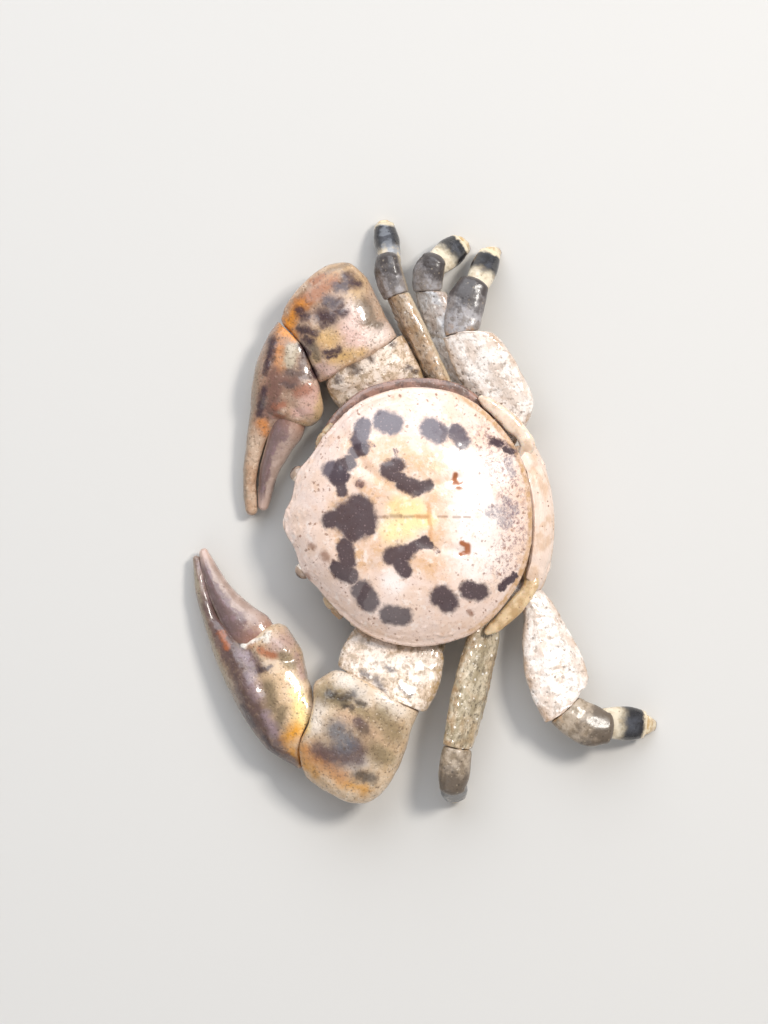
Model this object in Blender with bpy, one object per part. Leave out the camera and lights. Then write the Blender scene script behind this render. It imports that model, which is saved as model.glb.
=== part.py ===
"""A porcelain crab as a still, life-size model, seen in its resting pose.

Frame: +X is the animal's left, -Y its front, +Z up. The floor is at z = 0.
Sizes are in millimetres until a mesh is made, and in metres from there on.
"""
import math

import bmesh
import bpy
import numpy as np
from mathutils import Matrix, Vector

MM = 0.001                 # metres in a millimetre
GAP = 0.3                  # clearance between two neighbouring pieces
WELD = 0.001               # vertices closer than this become one

# Body
CARAPACE_LENGTH = 14.55    # tip of the front to rear margin
CARAPACE_WIDTH = 15.1
CARAPACE_FRONT = -7.55     # where the tip of the front lies
CARAPACE_TOP = 6.3         # highest point above the floor
RIM_SIDE = 3.85            # height of the side margin
RIM_FRONT = 3.45           # height of the front margin
CHEEK_SWELL = 0.12         # how far the two gill regions swell
WALL_BOTTOM = 2.6          # lower edge of the side wall
STERNUM_TOP = 2.3
STERNUM_BOTTOM = 1.45
CARAPACE_SIDES = 52        # points round the margin

# Limbs
LEG_THICKNESS = 1.1        # of a walking leg's flat blade
UPPER_BREADTH = 2.5        # of the broad upper blade of a leg
LOWER_BREADTH = 1.7        # of the black-banded lower piece
KNEE_BREADTH = 1.9         # of the slate piece at the knee

PALE = (0.86, 0.70, 0.58)
CREAM = (0.78, 0.68, 0.54)
MOTTLED = (0.55, 0.48, 0.38)
SLATE = (0.12, 0.11, 0.12)
OCHRE = (0.62, 0.40, 0.22)
PLUM = (0.30, 0.20, 0.22)
EYE_BROWN = (0.20, 0.13, 0.08)


def clear_scene():
    for thing in list(bpy.data.objects):
        bpy.data.objects.remove(thing, do_unlink=True)


def finish(name, colour, roughness):
    """A plain shell material."""
    made = bpy.data.materials.new(name)
    made.use_nodes = True
    shader = made.node_tree.nodes["Principled BSDF"]
    shader.inputs["Base Color"].default_value = (*colour, 1.0)
    shader.inputs["Roughness"].default_value = roughness
    shader.inputs["Metallic"].default_value = 0.0
    return made


def smooth(rows, count, closed=False):
    """Read `count` rows off a smooth curve through the given rows."""
    rows = np.array(rows, dtype=float)
    total = len(rows)
    spans = total if closed else total - 1
    read = []
    for step in range(count):
        place = step * spans / (count if closed else count - 1)
        first = min(int(place), spans - 1)
        t = place - first
        near = []
        for k in (-1, 0, 1, 2):
            index = (first + k) % total if closed else min(max(first + k, 0), total - 1)
            near.append(rows[index])
        a, b, c, d = near
        read.append(0.5 * (2 * b + (c - a) * t + (2 * a - 5 * b + 4 * c - d) * t ** 2
                           + (3 * b - a - 3 * c + d) * t ** 3))
    return np.array(read)


def add_object(name, mesh_data, colour, roughness):
    """Make a named object from a bmesh held in millimetres."""
    bmesh.ops.scale(mesh_data, vec=(MM, MM, MM), verts=mesh_data.verts)
    bmesh.ops.recalc_face_normals(mesh_data, faces=mesh_data.faces)
    bmesh.ops.triangulate(mesh_data, faces=mesh_data.faces)
    mesh = bpy.data.meshes.new(name)
    mesh_data.to_mesh(mesh)
    mesh_data.free()
    made = bpy.data.objects.new(name, mesh)
    bpy.context.collection.objects.link(made)
    mesh.materials.append(finish(name, colour, roughness))
    mesh.shade_smooth()
    mesh.set_sharp_from_angle(angle=math.radians(50))
    return made


def between(left, right, up, down):
    """A cross-section from its two edge points and its rise and drop."""
    left, right = np.array(left, dtype=float), np.array(right, dtype=float)
    return [*((left + right) / 2), *((right - left) / 2), up, down]


def flat_sections(edges, heights, rises):
    """Sections of a flat plate: pairs of edge points in plan, and z, rise, drop."""
    made = []
    for (left, right), z, (up, down) in zip(edges, heights, rises):
        made.append(between((*left, z), (*right, z), up, down))
    return made


def limb_sections(points, breadths, thicknesses, roll):
    """Sections along a limb's middle line; roll 0 lies flat, 90 stands on edge."""
    points = np.array(points, dtype=float)
    made = []
    for index, centre in enumerate(points):
        ahead = points[min(index + 1, len(points) - 1)] - points[max(index - 1, 0)]
        ahead = Vector(ahead).normalized()
        across = ahead.cross(Vector((0, 0, 1))).normalized()
        turn = math.radians(roll)
        lift = across.cross(ahead)
        axis = (across * math.cos(turn) + lift * math.sin(turn)) * breadths[index] / 2
        made.append([*centre, *axis, thicknesses[index] / 2, thicknesses[index] / 2])
    return made


def shell(name, sections, colour, rings=9, around=12, cap=0.5, roughness=0.35):
    """One closed body through the sections, with domed ends `cap` long."""
    rows = smooth(sections, rings)
    centres = rows[:, 0:3]
    tangents = np.gradient(centres, axis=0)
    tangents /= np.linalg.norm(tangents, axis=1)[:, None]
    data = bmesh.new()
    loops = []

    def ring(row, tangent, shrink, shift):
        centre = row[0:3] + tangent * shift
        half = row[3:6]
        normal = np.cross(half, tangent)
        normal /= np.linalg.norm(normal)
        if normal[2] < 0:
            normal = -normal
        points = []
        for k in range(around):
            angle = 2 * math.pi * k / around
            side = math.copysign(abs(math.cos(angle)) ** 0.85, math.cos(angle))
            rise = math.copysign(abs(math.sin(angle)) ** 0.85, math.sin(angle))
            tall = row[6] if rise > 0 else row[7]
            points.append(data.verts.new(centre + shrink * (half * side + normal * rise * tall)))
        return points

    for shrink, shift in ((0.45, -0.9), (0.8, -0.55)):
        loops.append(ring(rows[0], tangents[0], shrink, shift * cap))
    for row, tangent in zip(rows, tangents):
        loops.append(ring(row, tangent, 1.0, 0.0))
    for shrink, shift in ((0.8, 0.55), (0.45, 0.9)):
        loops.append(ring(rows[-1], tangents[-1], shrink, shift * cap))
    first = data.verts.new(centres[0] - tangents[0] * cap)
    last = data.verts.new(centres[-1] + tangents[-1] * cap)
    for near, far in zip(loops, loops[1:]):
        for k in range(around):
            data.faces.new((near[k], near[(k + 1) % around], far[(k + 1) % around], far[k]))
    for k in range(around):
        data.faces.new((first, loops[0][(k + 1) % around], loops[0][k]))
        data.faces.new((last, loops[-1][k], loops[-1][(k + 1) % around]))
    return add_object(name, data, colour, roughness)


def trim(thing, point, normal):
    """Cut away all that lies beyond a plane, and close the cut with a flat face."""
    data = bmesh.new()
    data.from_mesh(thing.data)
    everything = data.verts[:] + data.edges[:] + data.faces[:]
    bmesh.ops.bisect_plane(data, geom=everything, dist=1e-7, plane_co=Vector(point) * MM,
                           plane_no=Vector(normal).normalized(), clear_outer=True)
    open_edges = [edge for edge in data.edges if edge.is_boundary]
    bmesh.ops.holes_fill(data, edges=open_edges, sides=0)
    tidy_mesh(data)
    data.to_mesh(thing.data)
    data.free()


def tidy_mesh(data):
    """Weld what nearly touches, and keep the largest closed surface."""
    bmesh.ops.remove_doubles(data, verts=data.verts, dist=WELD * MM)
    bmesh.ops.dissolve_degenerate(data, edges=data.edges, dist=WELD * MM)
    bmesh.ops.holes_fill(data, edges=[edge for edge in data.edges if edge.is_boundary], sides=0)
    bmesh.ops.triangulate(data, faces=data.faces)
    data.verts.ensure_lookup_table()
    unseen = set(data.verts)
    groups = []
    while unseen:
        stack = [unseen.pop()]
        group = set(stack)
        while stack:
            for edge in stack.pop().link_edges:
                for vertex in edge.verts:
                    if vertex in unseen:
                        unseen.remove(vertex)
                        group.add(vertex)
                        stack.append(vertex)
        groups.append(group)
    groups.sort(key=len, reverse=True)
    scraps = [vertex for group in groups[1:] for vertex in group]
    bmesh.ops.delete(data, geom=scraps, context="VERTS")
    bmesh.ops.recalc_face_normals(data, faces=data.faces)


def joint(near, far, point, direction):
    """Part two limb pieces at a plane, with the usual gap between the two faces."""
    point = Vector(point)
    direction = Vector(direction).normalized()
    trim(near, point - direction * GAP / 2, direction)
    trim(far, point + direction * GAP / 2, -direction)


def grown(thing, amount):
    """A copy of a piece, larger by `amount` all over."""
    data = bmesh.new()
    data.from_mesh(thing.data)
    data.normal_update()
    moves = [(vertex, vertex.normal * vertex.calc_shell_factor()) for vertex in data.verts]
    for vertex, way in moves:
        vertex.co += way * amount * MM
    mesh = bpy.data.meshes.new("grown")
    data.to_mesh(mesh)
    data.free()
    made = bpy.data.objects.new("grown", mesh)
    bpy.context.collection.objects.link(made)
    return made


def clear_of(thing, *others):
    """Cut a piece back so that it keeps the gap to each of the others."""
    for other in others:
        cutter = grown(other, GAP)
        cut = thing.modifiers.new("clear", "BOOLEAN")
        cut.operation = "DIFFERENCE"
        cut.solver = "EXACT"
        cut.object = cutter
        reading = thing.evaluated_get(bpy.context.evaluated_depsgraph_get())
        data = bmesh.new()
        data.from_mesh(reading.to_mesh())
        thing.modifiers.clear()
        tidy_mesh(data)
        data.to_mesh(thing.data)
        data.free()
        bpy.data.objects.remove(cutter, do_unlink=True)


# Half of the margin, from the tip of the front back along one side, as shares of the
# shield's half width and of its length
MARGIN_SHARES = [(0.0, 0.0), (0.10, 0.014), (0.20, 0.041), (0.385, 0.069), (0.51, 0.124),
                 (0.675, 0.192), (0.815, 0.265), (0.92, 0.347), (0.985, 0.457), (1.0, 0.56),
                 (0.973, 0.656), (0.905, 0.753), (0.755, 0.849), (0.53, 0.938), (0.29, 0.985),
                 (0.0, 1.0)]


def margin_points(count):
    """The whole margin in plan, closed, from the tip of the front round the left side."""
    half = [(across * CARAPACE_WIDTH / 2, CARAPACE_FRONT + back * CARAPACE_LENGTH)
            for across, back in MARGIN_SHARES]
    other_side = [(-x, y) for x, y in reversed(half[1:-1])]
    return smooth(half + other_side, count, closed=True)


def rim_height(y):
    """The margin dips towards the front."""
    ahead = min(max((-y - 3.5) / 4.0, 0.0), 1.0)
    return RIM_SIDE + (RIM_FRONT - RIM_SIDE) * ahead


def dome_height(x, y, reach):
    """Height of the back at a place, where `reach` is 0 in the middle and 1 at the margin."""
    rim = rim_height(y)
    swell = (CARAPACE_TOP - rim) * (1 - reach ** 2.4) ** 0.85
    cheeks = CHEEK_SWELL * math.sin(math.pi * min(reach, 1.0)) * math.cos(2 * math.atan2(x, y))
    return rim + swell - cheeks


def make_carapace():
    """The domed back shield with its side walls, flat underneath."""
    outline = margin_points(CARAPACE_SIDES)
    middle = np.array((0.0, -0.2))
    angles = np.arctan2(outline[:, 1] - middle[1], outline[:, 0])
    oval = middle + np.column_stack((np.cos(angles) * CARAPACE_WIDTH,
                                     np.sin(angles) * CARAPACE_LENGTH)) / 2
    data = bmesh.new()
    loops = []
    top = data.verts.new((*middle, CARAPACE_TOP))
    for reach in (0.16, 0.34, 0.52, 0.68, 0.81, 0.91, 0.97, 1.0):
        loop = []
        for place, plain in zip(outline, oval):
            x, y = middle + (plain + (place - plain) * reach ** 3 - middle) * reach
            loop.append(data.verts.new((x, y, dome_height(x, y, reach))))
        loops.append(loop)
    for reach, drop in ((0.995, 0.25), (0.93, 0.4), (0.89, 0.7)):
        loops.append([data.verts.new((*(middle + (place - middle) * reach),
                                      rim_height(place[1]) - drop)) for place in outline])
    loops.append([data.verts.new((*(middle + (place - middle) * 0.87), WALL_BOTTOM))
                  for place in outline])
    bottom = data.verts.new((*middle, WALL_BOTTOM))
    count = len(outline)
    for near, far in zip(loops, loops[1:]):
        for k in range(count):
            data.faces.new((near[k], near[(k + 1) % count], far[(k + 1) % count], far[k]))
    for k in range(count):
        data.faces.new((top, loops[0][(k + 1) % count], loops[0][k]))
        data.faces.new((bottom, loops[-1][k], loops[-1][(k + 1) % count]))
    return add_object("carapace", data, PALE, 0.3)


def make_sternum():
    """The floor of the body, which carries every leg."""
    edges = [((-1.9, -3.4), (1.9, -3.4)), ((-4.6, -2.2), (4.6, -2.2)), ((-5.0, 0.0), (5.0, 0.0)),
             ((-4.9, 2.4), (4.9, 2.4)), ((-4.2, 4.4), (4.2, 4.4)), ((-2.6, 6.0), (2.6, 6.0))]
    middle = (STERNUM_TOP + STERNUM_BOTTOM) / 2
    half = (STERNUM_TOP - STERNUM_BOTTOM) / 2
    sections = flat_sections(edges, [middle] * 6, [(half, half)] * 6)
    return shell("sternum", sections, CREAM, rings=11, around=16, cap=0.4)


# The abdomen's run in side view, from the rear margin round and under: y, z, half width
ABDOMEN_RUN = [(7.0, 3.45, 3.5), (7.75, 2.95, 4.1), (8.05, 2.1, 4.3), (7.7, 1.25, 4.3),
               (6.6, 0.85, 4.2), (4.8, 0.8, 4.0), (3.0, 0.8, 3.7), (1.2, 0.8, 3.3),
               (-0.4, 0.8, 2.9), (-1.8, 0.85, 2.4)]
ABDOMEN_JOINTS = (0.0, 0.115, 0.235, 0.36, 0.5, 0.64, 0.79, 1.0)
ABDOMEN_THICKNESS = 0.62
ABDOMEN_SKEW = 0.35        # the folded abdomen sits a little to the animal's left


def make_abdomen():
    """Six hoops and the tail fan, folded under the body."""
    run = smooth(ABDOMEN_RUN, 200)
    steps = np.linalg.norm(np.diff(run[:, 0:2], axis=0), axis=1)
    travelled = np.concatenate(([0.0], np.cumsum(steps)))
    length = travelled[-1]
    half = ABDOMEN_THICKNESS / 2
    made = []
    for number, (start, end) in enumerate(zip(ABDOMEN_JOINTS, ABDOMEN_JOINTS[1:]), 1):
        first = start * length + (GAP / 2 if number > 1 else 0)
        last = end * length - GAP / 2
        sections = []
        for t in np.linspace(first + 0.1, last - 0.1, 4):
            y, z, wide = (np.interp(t, travelled, run[:, column]) for column in range(3))
            sections.append([ABDOMEN_SKEW, y, z, -wide, 0, 0, half, half])
        name = "tail_fan" if number == 7 else f"abdomen_{number}"
        made.append(shell(name, sections, CREAM, rings=4, around=16, cap=0.1))
    return made


# Small parts of the head's left side: middle line, breadths and thicknesses
EYE = ([(1.7, -5.3, 3.0), (2.3, -5.95, 3.05), (2.85, -6.55, 3.1)], (0.7, 0.95, 1.0),
       (0.7, 0.9, 0.95))
ANTENNULE = ([(0.75, -5.6, 2.6), (0.7, -6.4, 2.65), (0.6, -7.05, 2.6)], (0.7, 0.65, 0.5),
             (0.7, 0.65, 0.5))
ANTENNA_BASE = ([(3.7, -5.1, 2.75), (4.7, -4.95, 2.85), (5.55, -4.35, 2.9)], (0.95, 0.9, 0.7),
                (0.9, 0.85, 0.7))

# The long feeler, folded back beneath the margin
ANTENNA_START = (5.95, -3.75, 2.95)
ANTENNA_STATIONS = (-2.9, -1.7, -0.4, 0.9, 2.2, 3.3, 4.2)   # its y from front to rear
ANTENNA_INSET = 0.42       # how far inside the margin it lies
ANTENNA_LEVEL = 2.9
ANTENNA_ROOT = 0.52        # thickness at its root
ANTENNA_TIP = 0.36

# The mouthpart's left half: edge points, heights, rises and drops
MOUTH_LEG = ([((0.25, -2.9), (2.2, -3.7)), ((0.25, -4.2), (3.0, -4.6)),
              ((0.3, -5.4), (2.8, -5.6)), ((0.5, -6.3), (1.7, -6.3))],
             (1.5, 1.4, 1.45, 1.65), ((0.3, 0.35), (0.4, 0.45), (0.4, 0.4), (0.3, 0.3)))


def mirrored(points, side):
    """The same points on the other side of the animal where side is -1."""
    return [(side * x, *rest) for x, *rest in points]


def antenna_line():
    """The left feeler's middle line, read off the margin."""
    outline = [place for place in margin_points(120) if place[0] > 0]
    line = [ANTENNA_START]
    for y in ANTENNA_STATIONS:
        near = min(outline, key=lambda place: (place[1] - y) ** 2)
        line.append((near[0] - ANTENNA_INSET, y, ANTENNA_LEVEL))
    return line


def make_head(side):
    """Eye, feelers and the leg-like mouthpart of one side; side is 1 for the left."""
    word = "left" if side > 0 else "right"

    def small_limb(name, table, colour, **options):
        line, breadths, thicknesses = table
        sections = limb_sections(mirrored(line, side), breadths, thicknesses, 0)
        return shell(f"{name}_{word}", sections, colour, **options)

    eye = small_limb("eye", EYE, EYE_BROWN, rings=6, around=12, cap=0.45, roughness=0.12)
    small = small_limb("antennule", ANTENNULE, CREAM, rings=5, around=8, cap=0.2)
    base = small_limb("antenna_base", ANTENNA_BASE, CREAM, rings=6, around=10, cap=0.2)
    line = antenna_line()
    thick = np.linspace(ANTENNA_ROOT, ANTENNA_TIP, len(line))
    whip = small_limb("antenna", (line, thick, thick), OCHRE, rings=16, around=6, cap=0.15)
    edges, levels, rises = MOUTH_LEG
    edges = [mirrored(pair, side) for pair in edges]
    mouth = shell(f"mouth_leg_{word}", flat_sections(edges, levels, rises), CREAM, rings=8,
                  around=12, cap=0.25)
    return eye, small, base, whip, mouth


# Claw limbs. Each list runs outwards: pairs of edge points in plan, then z, rise and drop.
CLAWS = {
    "right": {
        "arm": ([((-4.4, -2.9), (-4.6, -1.1)), ((-6.0, -3.6), (-6.3, 0.3)),
                 ((-7.4, -4.45), (-7.9, 1.15)), ((-8.2, -4.7), (-9.2, 0.75)),
                 ((-9.2, -4.7), (-11.0, -0.2))],
                (1.85, 1.75, 1.9, 2.1, 2.3),
                ((0.5, 0.5), (0.65, 0.8), (0.85, 1.0), (1.15, 1.1), (1.2, 1.2))),
        "wrist": ([((-7.5, -4.2), (-10.0, 0.0)), ((-8.1, -4.85), (-11.4, -0.75)),
                   ((-9.4, -5.6), (-12.9, -1.4)), ((-10.7, -6.3), (-14.15, -2.0)),
                   ((-11.7, -6.9), (-15.1, -3.0)), ((-12.05, -6.8), (-14.75, -4.0)),
                   ((-12.65, -6.35), (-14.1, -4.9))],
                  (2.35, 2.35, 2.35, 2.2, 2.1, 2.0, 1.9),
                  ((1.2, 1.2), (1.45, 1.3), (1.6, 1.4), (1.55, 1.4), (1.4, 1.3), (1.1, 1.1),
                   (0.7, 0.7))),
        "hand": ([((-12.7, -6.2), (-8.9, -4.3)), ((-11.5, -7.65), (-7.8, -4.6)),
                  ((-10.0, -8.5), (-6.6, -4.85)), ((-8.6, -8.95), (-5.7, -5.6)),
                  ((-7.1, -9.15), (-5.9, -7.0)), ((-5.0, -9.55), (-5.0, -8.25)),
                  ((-3.0, -9.85), (-3.2, -9.0)), ((-1.0, -9.75), (-1.05, -9.05))],
                 (1.6, 1.55, 1.5, 1.4, 1.2, 1.05, 0.9, 0.75),
                 ((1.4, 1.6), (1.55, 1.7), (1.6, 1.7), (1.4, 1.6), (1.0, 1.25), (0.75, 1.05),
                  (0.6, 0.75), (0.4, 0.45))),
        "finger": ([((-7.3, -7.3), (-5.7, -5.6)), ((-6.3, -7.7), (-5.0, -6.25)),
                    ((-5.0, -8.15), (-4.2, -6.9)), ((-3.4, -8.65), (-2.9, -7.6)),
                    ((-2.0, -8.95), (-1.7, -8.25)), ((-1.1, -9.05), (-0.95, -8.7))],
                   (1.4, 1.35, 1.25, 1.1, 0.95, 0.85),
                   ((0.95, 0.9), (0.95, 0.9), (0.85, 0.8), (0.7, 0.65), (0.5, 0.5),
                    (0.35, 0.35))),
        "elbow": ((-9.4, -2.5, 0), (-0.867, -0.498, 0)),
        "wrist_joint": ((-10.1, -6.15, 0), (0.434, -0.9, 0)),
        "knuckle": ((-6.2, -6.7, 0), (0.75, -0.66, 0)),
    },
    "left": {
        "arm": ([((4.4, -2.9), (4.6, -1.1)), ((6.1, -3.6), (6.3, 0.4)),
                 ((7.55, -4.5), (8.0, 1.4)), ((8.7, -4.8), (10.0, 1.1)),
                 ((9.6, -4.5), (11.7, 0.1))],
                (1.95, 2.1, 2.35, 2.7, 2.95),
                ((0.45, 0.5), (0.6, 0.5), (0.75, 0.5), (1.0, 0.8), (1.2, 0.95))),
        "wrist": ([((8.3, -4.0), (10.7, 0.3)), ((8.7, -4.95), (12.1, -0.5)),
                   ((9.3, -6.1), (13.9, -1.15)), ((10.3, -7.4), (15.6, -2.1)),
                   ((12.0, -8.2), (16.6, -3.3)), ((12.9, -8.0), (16.3, -4.3)),
                   ((14.0, -7.1), (15.55, -5.2))],
                  (3.0, 2.95, 2.9, 2.75, 2.5, 2.25, 2.1),
                  ((1.2, 1.0), (1.4, 1.05), (1.55, 1.1), (1.5, 1.2), (1.35, 1.2), (1.0, 1.0),
                   (0.7, 0.7))),
        "hand": ([((14.9, -5.7), (10.2, -5.2)), ((14.35, -7.4), (9.3, -6.2)),
                  ((13.35, -9.0), (8.3, -6.55)), ((11.6, -10.3), (6.9, -7.2)),
                  ((9.7, -11.25), (5.9, -8.1)), ((8.0, -11.9), (6.6, -10.2)),
                  ((6.0, -12.5), (5.5, -11.5)), ((3.9, -12.95), (3.8, -12.2)),
                  ((2.0, -13.0), (2.1, -12.6))],
                 (1.8, 1.75, 1.65, 1.5, 1.35, 1.2, 1.05, 0.9, 0.7),
                 ((1.5, 1.6), (1.6, 1.8), (1.65, 1.8), (1.6, 1.7), (1.35, 1.5), (1.0, 1.25),
                  (0.75, 1.05), (0.6, 0.7), (0.35, 0.4))),
        "finger": ([((7.9, -10.4), (6.1, -7.8)), ((7.0, -10.9), (5.45, -8.75)),
                    ((5.6, -11.5), (4.7, -9.75)), ((4.0, -12.05), (3.5, -10.85)),
                    ((2.5, -12.5), (2.1, -11.75)), ((1.6, -12.6), (1.4, -12.25))],
                   (1.4, 1.35, 1.25, 1.1, 0.95, 0.85),
                   ((1.0, 0.9), (1.0, 0.9), (0.9, 0.8), (0.75, 0.65), (0.55, 0.5),
                    (0.35, 0.35))),
        "elbow": ((10.15, -2.25, 0), (0.858, -0.514, 0)),
        "wrist_joint": ((12.0, -6.8, 0), (-0.164, -0.986, 0)),
        "knuckle": ((6.6, -9.3, 0), (-0.8, -0.6, 0)),
    },
}


def make_claw(side):
    """One claw limb: arm, wrist, hand with its fixed finger, and the moving finger."""
    plan = CLAWS[side]
    arm = shell(f"claw_arm_{side}", flat_sections(*plan["arm"]), CREAM, rings=10, around=14)
    wrist = shell(f"claw_wrist_{side}", flat_sections(*plan["wrist"]), OCHRE, rings=12,
                  around=16, cap=0.2)
    hand = shell(f"claw_hand_{side}", flat_sections(*plan["hand"]), PLUM, rings=16, around=16,
                 cap=0.4)
    finger = shell(f"claw_finger_{side}", flat_sections(*plan["finger"]), PLUM, rings=10,
                   around=12, cap=0.3)
    joint(arm, wrist, *plan["elbow"])
    joint(wrist, hand, *plan["wrist_joint"])
    trim(finger, Vector(plan["knuckle"][0]), -Vector(plan["knuckle"][1]))
    trim(hand, (0, 0, 0), (0, 0, -1))
    clear_of(hand, finger)
    return arm, wrist, hand, finger


# Walking legs: hip, bend, knee, ankle, heel and toe, the upper blade's roll in degrees, and
# how broad the leg is beside the usual
LEGS = {
    "leg_1_right": ((-4.7, 1.7, 1.75), (-7.6, 2.05, 1.95), (-13.0, -0.15, 2.2),
                    (-15.5, -0.62, 2.2), (-17.15, -0.8, 0.75), (-17.5, -0.75, 0.0), 72, 1.0),
    "leg_2_right": ((-4.4, 3.5, 1.75), (-7.8, 3.35, 1.75), (-13.2, 1.8, 2.2),
                    (-14.75, 2.2, 2.3), (-15.85, 3.5, 0.85), (-15.7, 4.1, 0.0), 52, 1.0),
    "leg_3_right": ((-3.5, 5.2, 1.75), (-6.2, 6.1, 1.75), (-10.7, 3.55, 2.3),
                    (-13.3, 4.35, 2.4), (-14.95, 5.15, 0.85), (-15.3, 5.7, 0.0), 18, 1.18),
    "leg_1_left": ((4.7, 1.7, 1.6), (6.9, 1.0, 0.95), (11.0, -1.4, 0.9),
                   (12.6, -2.6, 0.85), (14.3, -4.1, 0.65), (14.9, -4.7, 0.0), 0, 0.8),
    "leg_2_left": ((4.4, 3.5, 1.75), (7.0, 3.9, 2.0), (13.6, 2.0, 2.7),
                   (15.75, 1.62, 2.6), (16.5, 1.75, 0.8), (16.65, 1.95, 0.0), 40, 1.0),
    "leg_3_left": ((3.5, 5.2, 1.75), (5.6, 7.1, 2.0), (11.75, 8.6, 2.3),
                   (12.6, 10.65, 2.1), (12.9, 12.9, 0.8), (13.05, 13.75, 0.0), 12, 1.28),
}
UPPER_SHARES = (0.42, 0.85, 1.0, 0.78)        # of the upper breadth, hip to knee
DROP_SHARES = {"leg_3_left": (0.42, 0.6, 1.12, 0.74)}   # one blade is shaped like a drop
UPPER_THICK_SHARES = (1.0, 1.0, 1.05, 1.05)   # of the leg's thickness, and so below
KNEE_SHARES = (0.84, 1.0, 0.84)
KNEE_THICK_SHARES = (1.05, 1.2, 1.0)
LOWER_SHARES = (0.74, 1.0, 0.68)
LOWER_THICK_SHARES = (0.91, 0.95, 0.77)
CLAW_BREADTHS = (0.85, 0.7, 0.5)
CLAW_THICKNESSES = (0.75, 0.65, 0.5)
OVERLAP = 0.5              # how far a piece first runs past its joint, before the cut
KNEE_ROLL_SHARE = 0.7      # a knee is turned a little less than the blade before it


def make_leg(name):
    """One walking leg: broad upper blade, slate knee piece, banded lower piece, claw."""
    hip, bend, knee, ankle, heel, toe = (Vector(place) for place in LEGS[name][:6])
    roll, squeeze = LEGS[name][6:]
    thigh, shank = (knee - bend).normalized(), (ankle - knee).normalized()
    shin, drop = (heel - ankle).normalized(), (toe - heel).normalized()

    def piece(part, line, breadths, thicknesses, turn, colour, **options):
        sections = limb_sections(line, breadths, thicknesses, turn)
        return shell(f"{name}_{part}", sections, colour, **options)

    def shares(of, size):
        return [share * size for share in of]

    upper = piece("merus", [hip, bend, bend.lerp(knee, 0.5), knee + thigh * OVERLAP],
                  shares(DROP_SHARES.get(name, UPPER_SHARES), UPPER_BREADTH * squeeze),
                  shares(UPPER_THICK_SHARES, LEG_THICKNESS), roll, MOTTLED, rings=8, around=10,
                  cap=0.3)
    before_knee = knee - shank * OVERLAP
    past_ankle = ankle + shank * GAP
    knee_piece = piece("carpus", [before_knee, before_knee.lerp(past_ankle, 0.5), past_ankle],
                       shares(KNEE_SHARES, KNEE_BREADTH * squeeze),
                       shares(KNEE_THICK_SHARES, LEG_THICKNESS), roll * KNEE_ROLL_SHARE, SLATE,
                       rings=6, around=10, cap=0.45)
    joint(upper, knee_piece, knee, thigh + shank)
    lower = piece("propodus", [ankle - shin * OVERLAP, ankle.lerp(heel, 0.5), heel],
                  shares(LOWER_SHARES, LOWER_BREADTH),
                  shares(LOWER_THICK_SHARES, LEG_THICKNESS), 0, SLATE, rings=6, around=10,
                  cap=0.3)
    joint(knee_piece, lower, ankle, shank + shin)
    claw = piece("dactyl", [heel - drop * GAP, heel.lerp(toe, 0.5), toe], CLAW_BREADTHS,
                 CLAW_THICKNESSES, 0, CREAM, rings=5, around=8, cap=0.2)
    trim(lower, (0, 0, GAP / 2), (0, 0, -1))
    trim(claw, (0, 0, 0), (0, 0, -1))
    joint(lower, claw, heel + drop * 0.1, shin + drop)
    return upper, knee_piece, lower, claw


# Cleaning legs: thin hind limbs folded along the rear margin, ending in a tiny claw
CLEANERS = {
    "right": [(-2.6, 6.1, 2.75), (-3.9, 6.95, 3.1), (-5.2, 6.05, 3.3), (-6.15, 5.1, 3.35),
              (-6.75, 4.35, 3.35)],
    "left": [(2.6, 6.1, 2.75), (4.1, 6.85, 3.1), (5.5, 5.95, 3.3), (6.6, 4.85, 3.35),
             (7.15, 3.95, 3.35)],
}


def make_cleaner(side):
    points = CLEANERS[side]
    arm = shell(f"cleaning_leg_{side}", limb_sections(
        points[:4], (0.6, 0.75, 0.8, 0.7), (0.55, 0.6, 0.6, 0.6), 0), CREAM, rings=9, around=8,
        cap=0.15)
    hand = shell(f"cleaning_hand_{side}", limb_sections(
        [Vector(points[3]).lerp(Vector(points[4]), t) for t in (0.0, 0.5, 1.0)],
        (0.6, 0.65, 0.5), (0.55, 0.55, 0.5), 0), CREAM, rings=5, around=8, cap=0.15)
    joint(arm, hand, Vector(points[3]).lerp(Vector(points[4]), 0.15),
          Vector(points[4]) - Vector(points[3]))
    return arm, hand


def stand_at_origin():
    """Move everything so that the middle of the box is over the origin, on the floor."""
    lows, highs = Vector((9, 9, 9)), Vector((-9, -9, -9))
    for thing in bpy.data.objects:
        for vertex in thing.data.vertices:
            lows = Vector(map(min, lows, vertex.co))
            highs = Vector(map(max, highs, vertex.co))
    shift = Vector((-(lows.x + highs.x) / 2, -(lows.y + highs.y) / 2, -lows.z))
    for thing in bpy.data.objects:
        thing.data.transform(Matrix.Translation(shift))
    print("box in mm", (highs - lows) / MM, "moved by", shift / MM)


clear_scene()
carapace = make_carapace()
sternum = make_sternum()
abdomen = make_abdomen()
head = {side: make_head(side) for side in (1, -1)}
claws = {side: make_claw(side) for side in ("right", "left")}
legs = {name: make_leg(name) for name in LEGS}
cleaners = {side: make_cleaner(side) for side in ("right", "left")}

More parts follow.
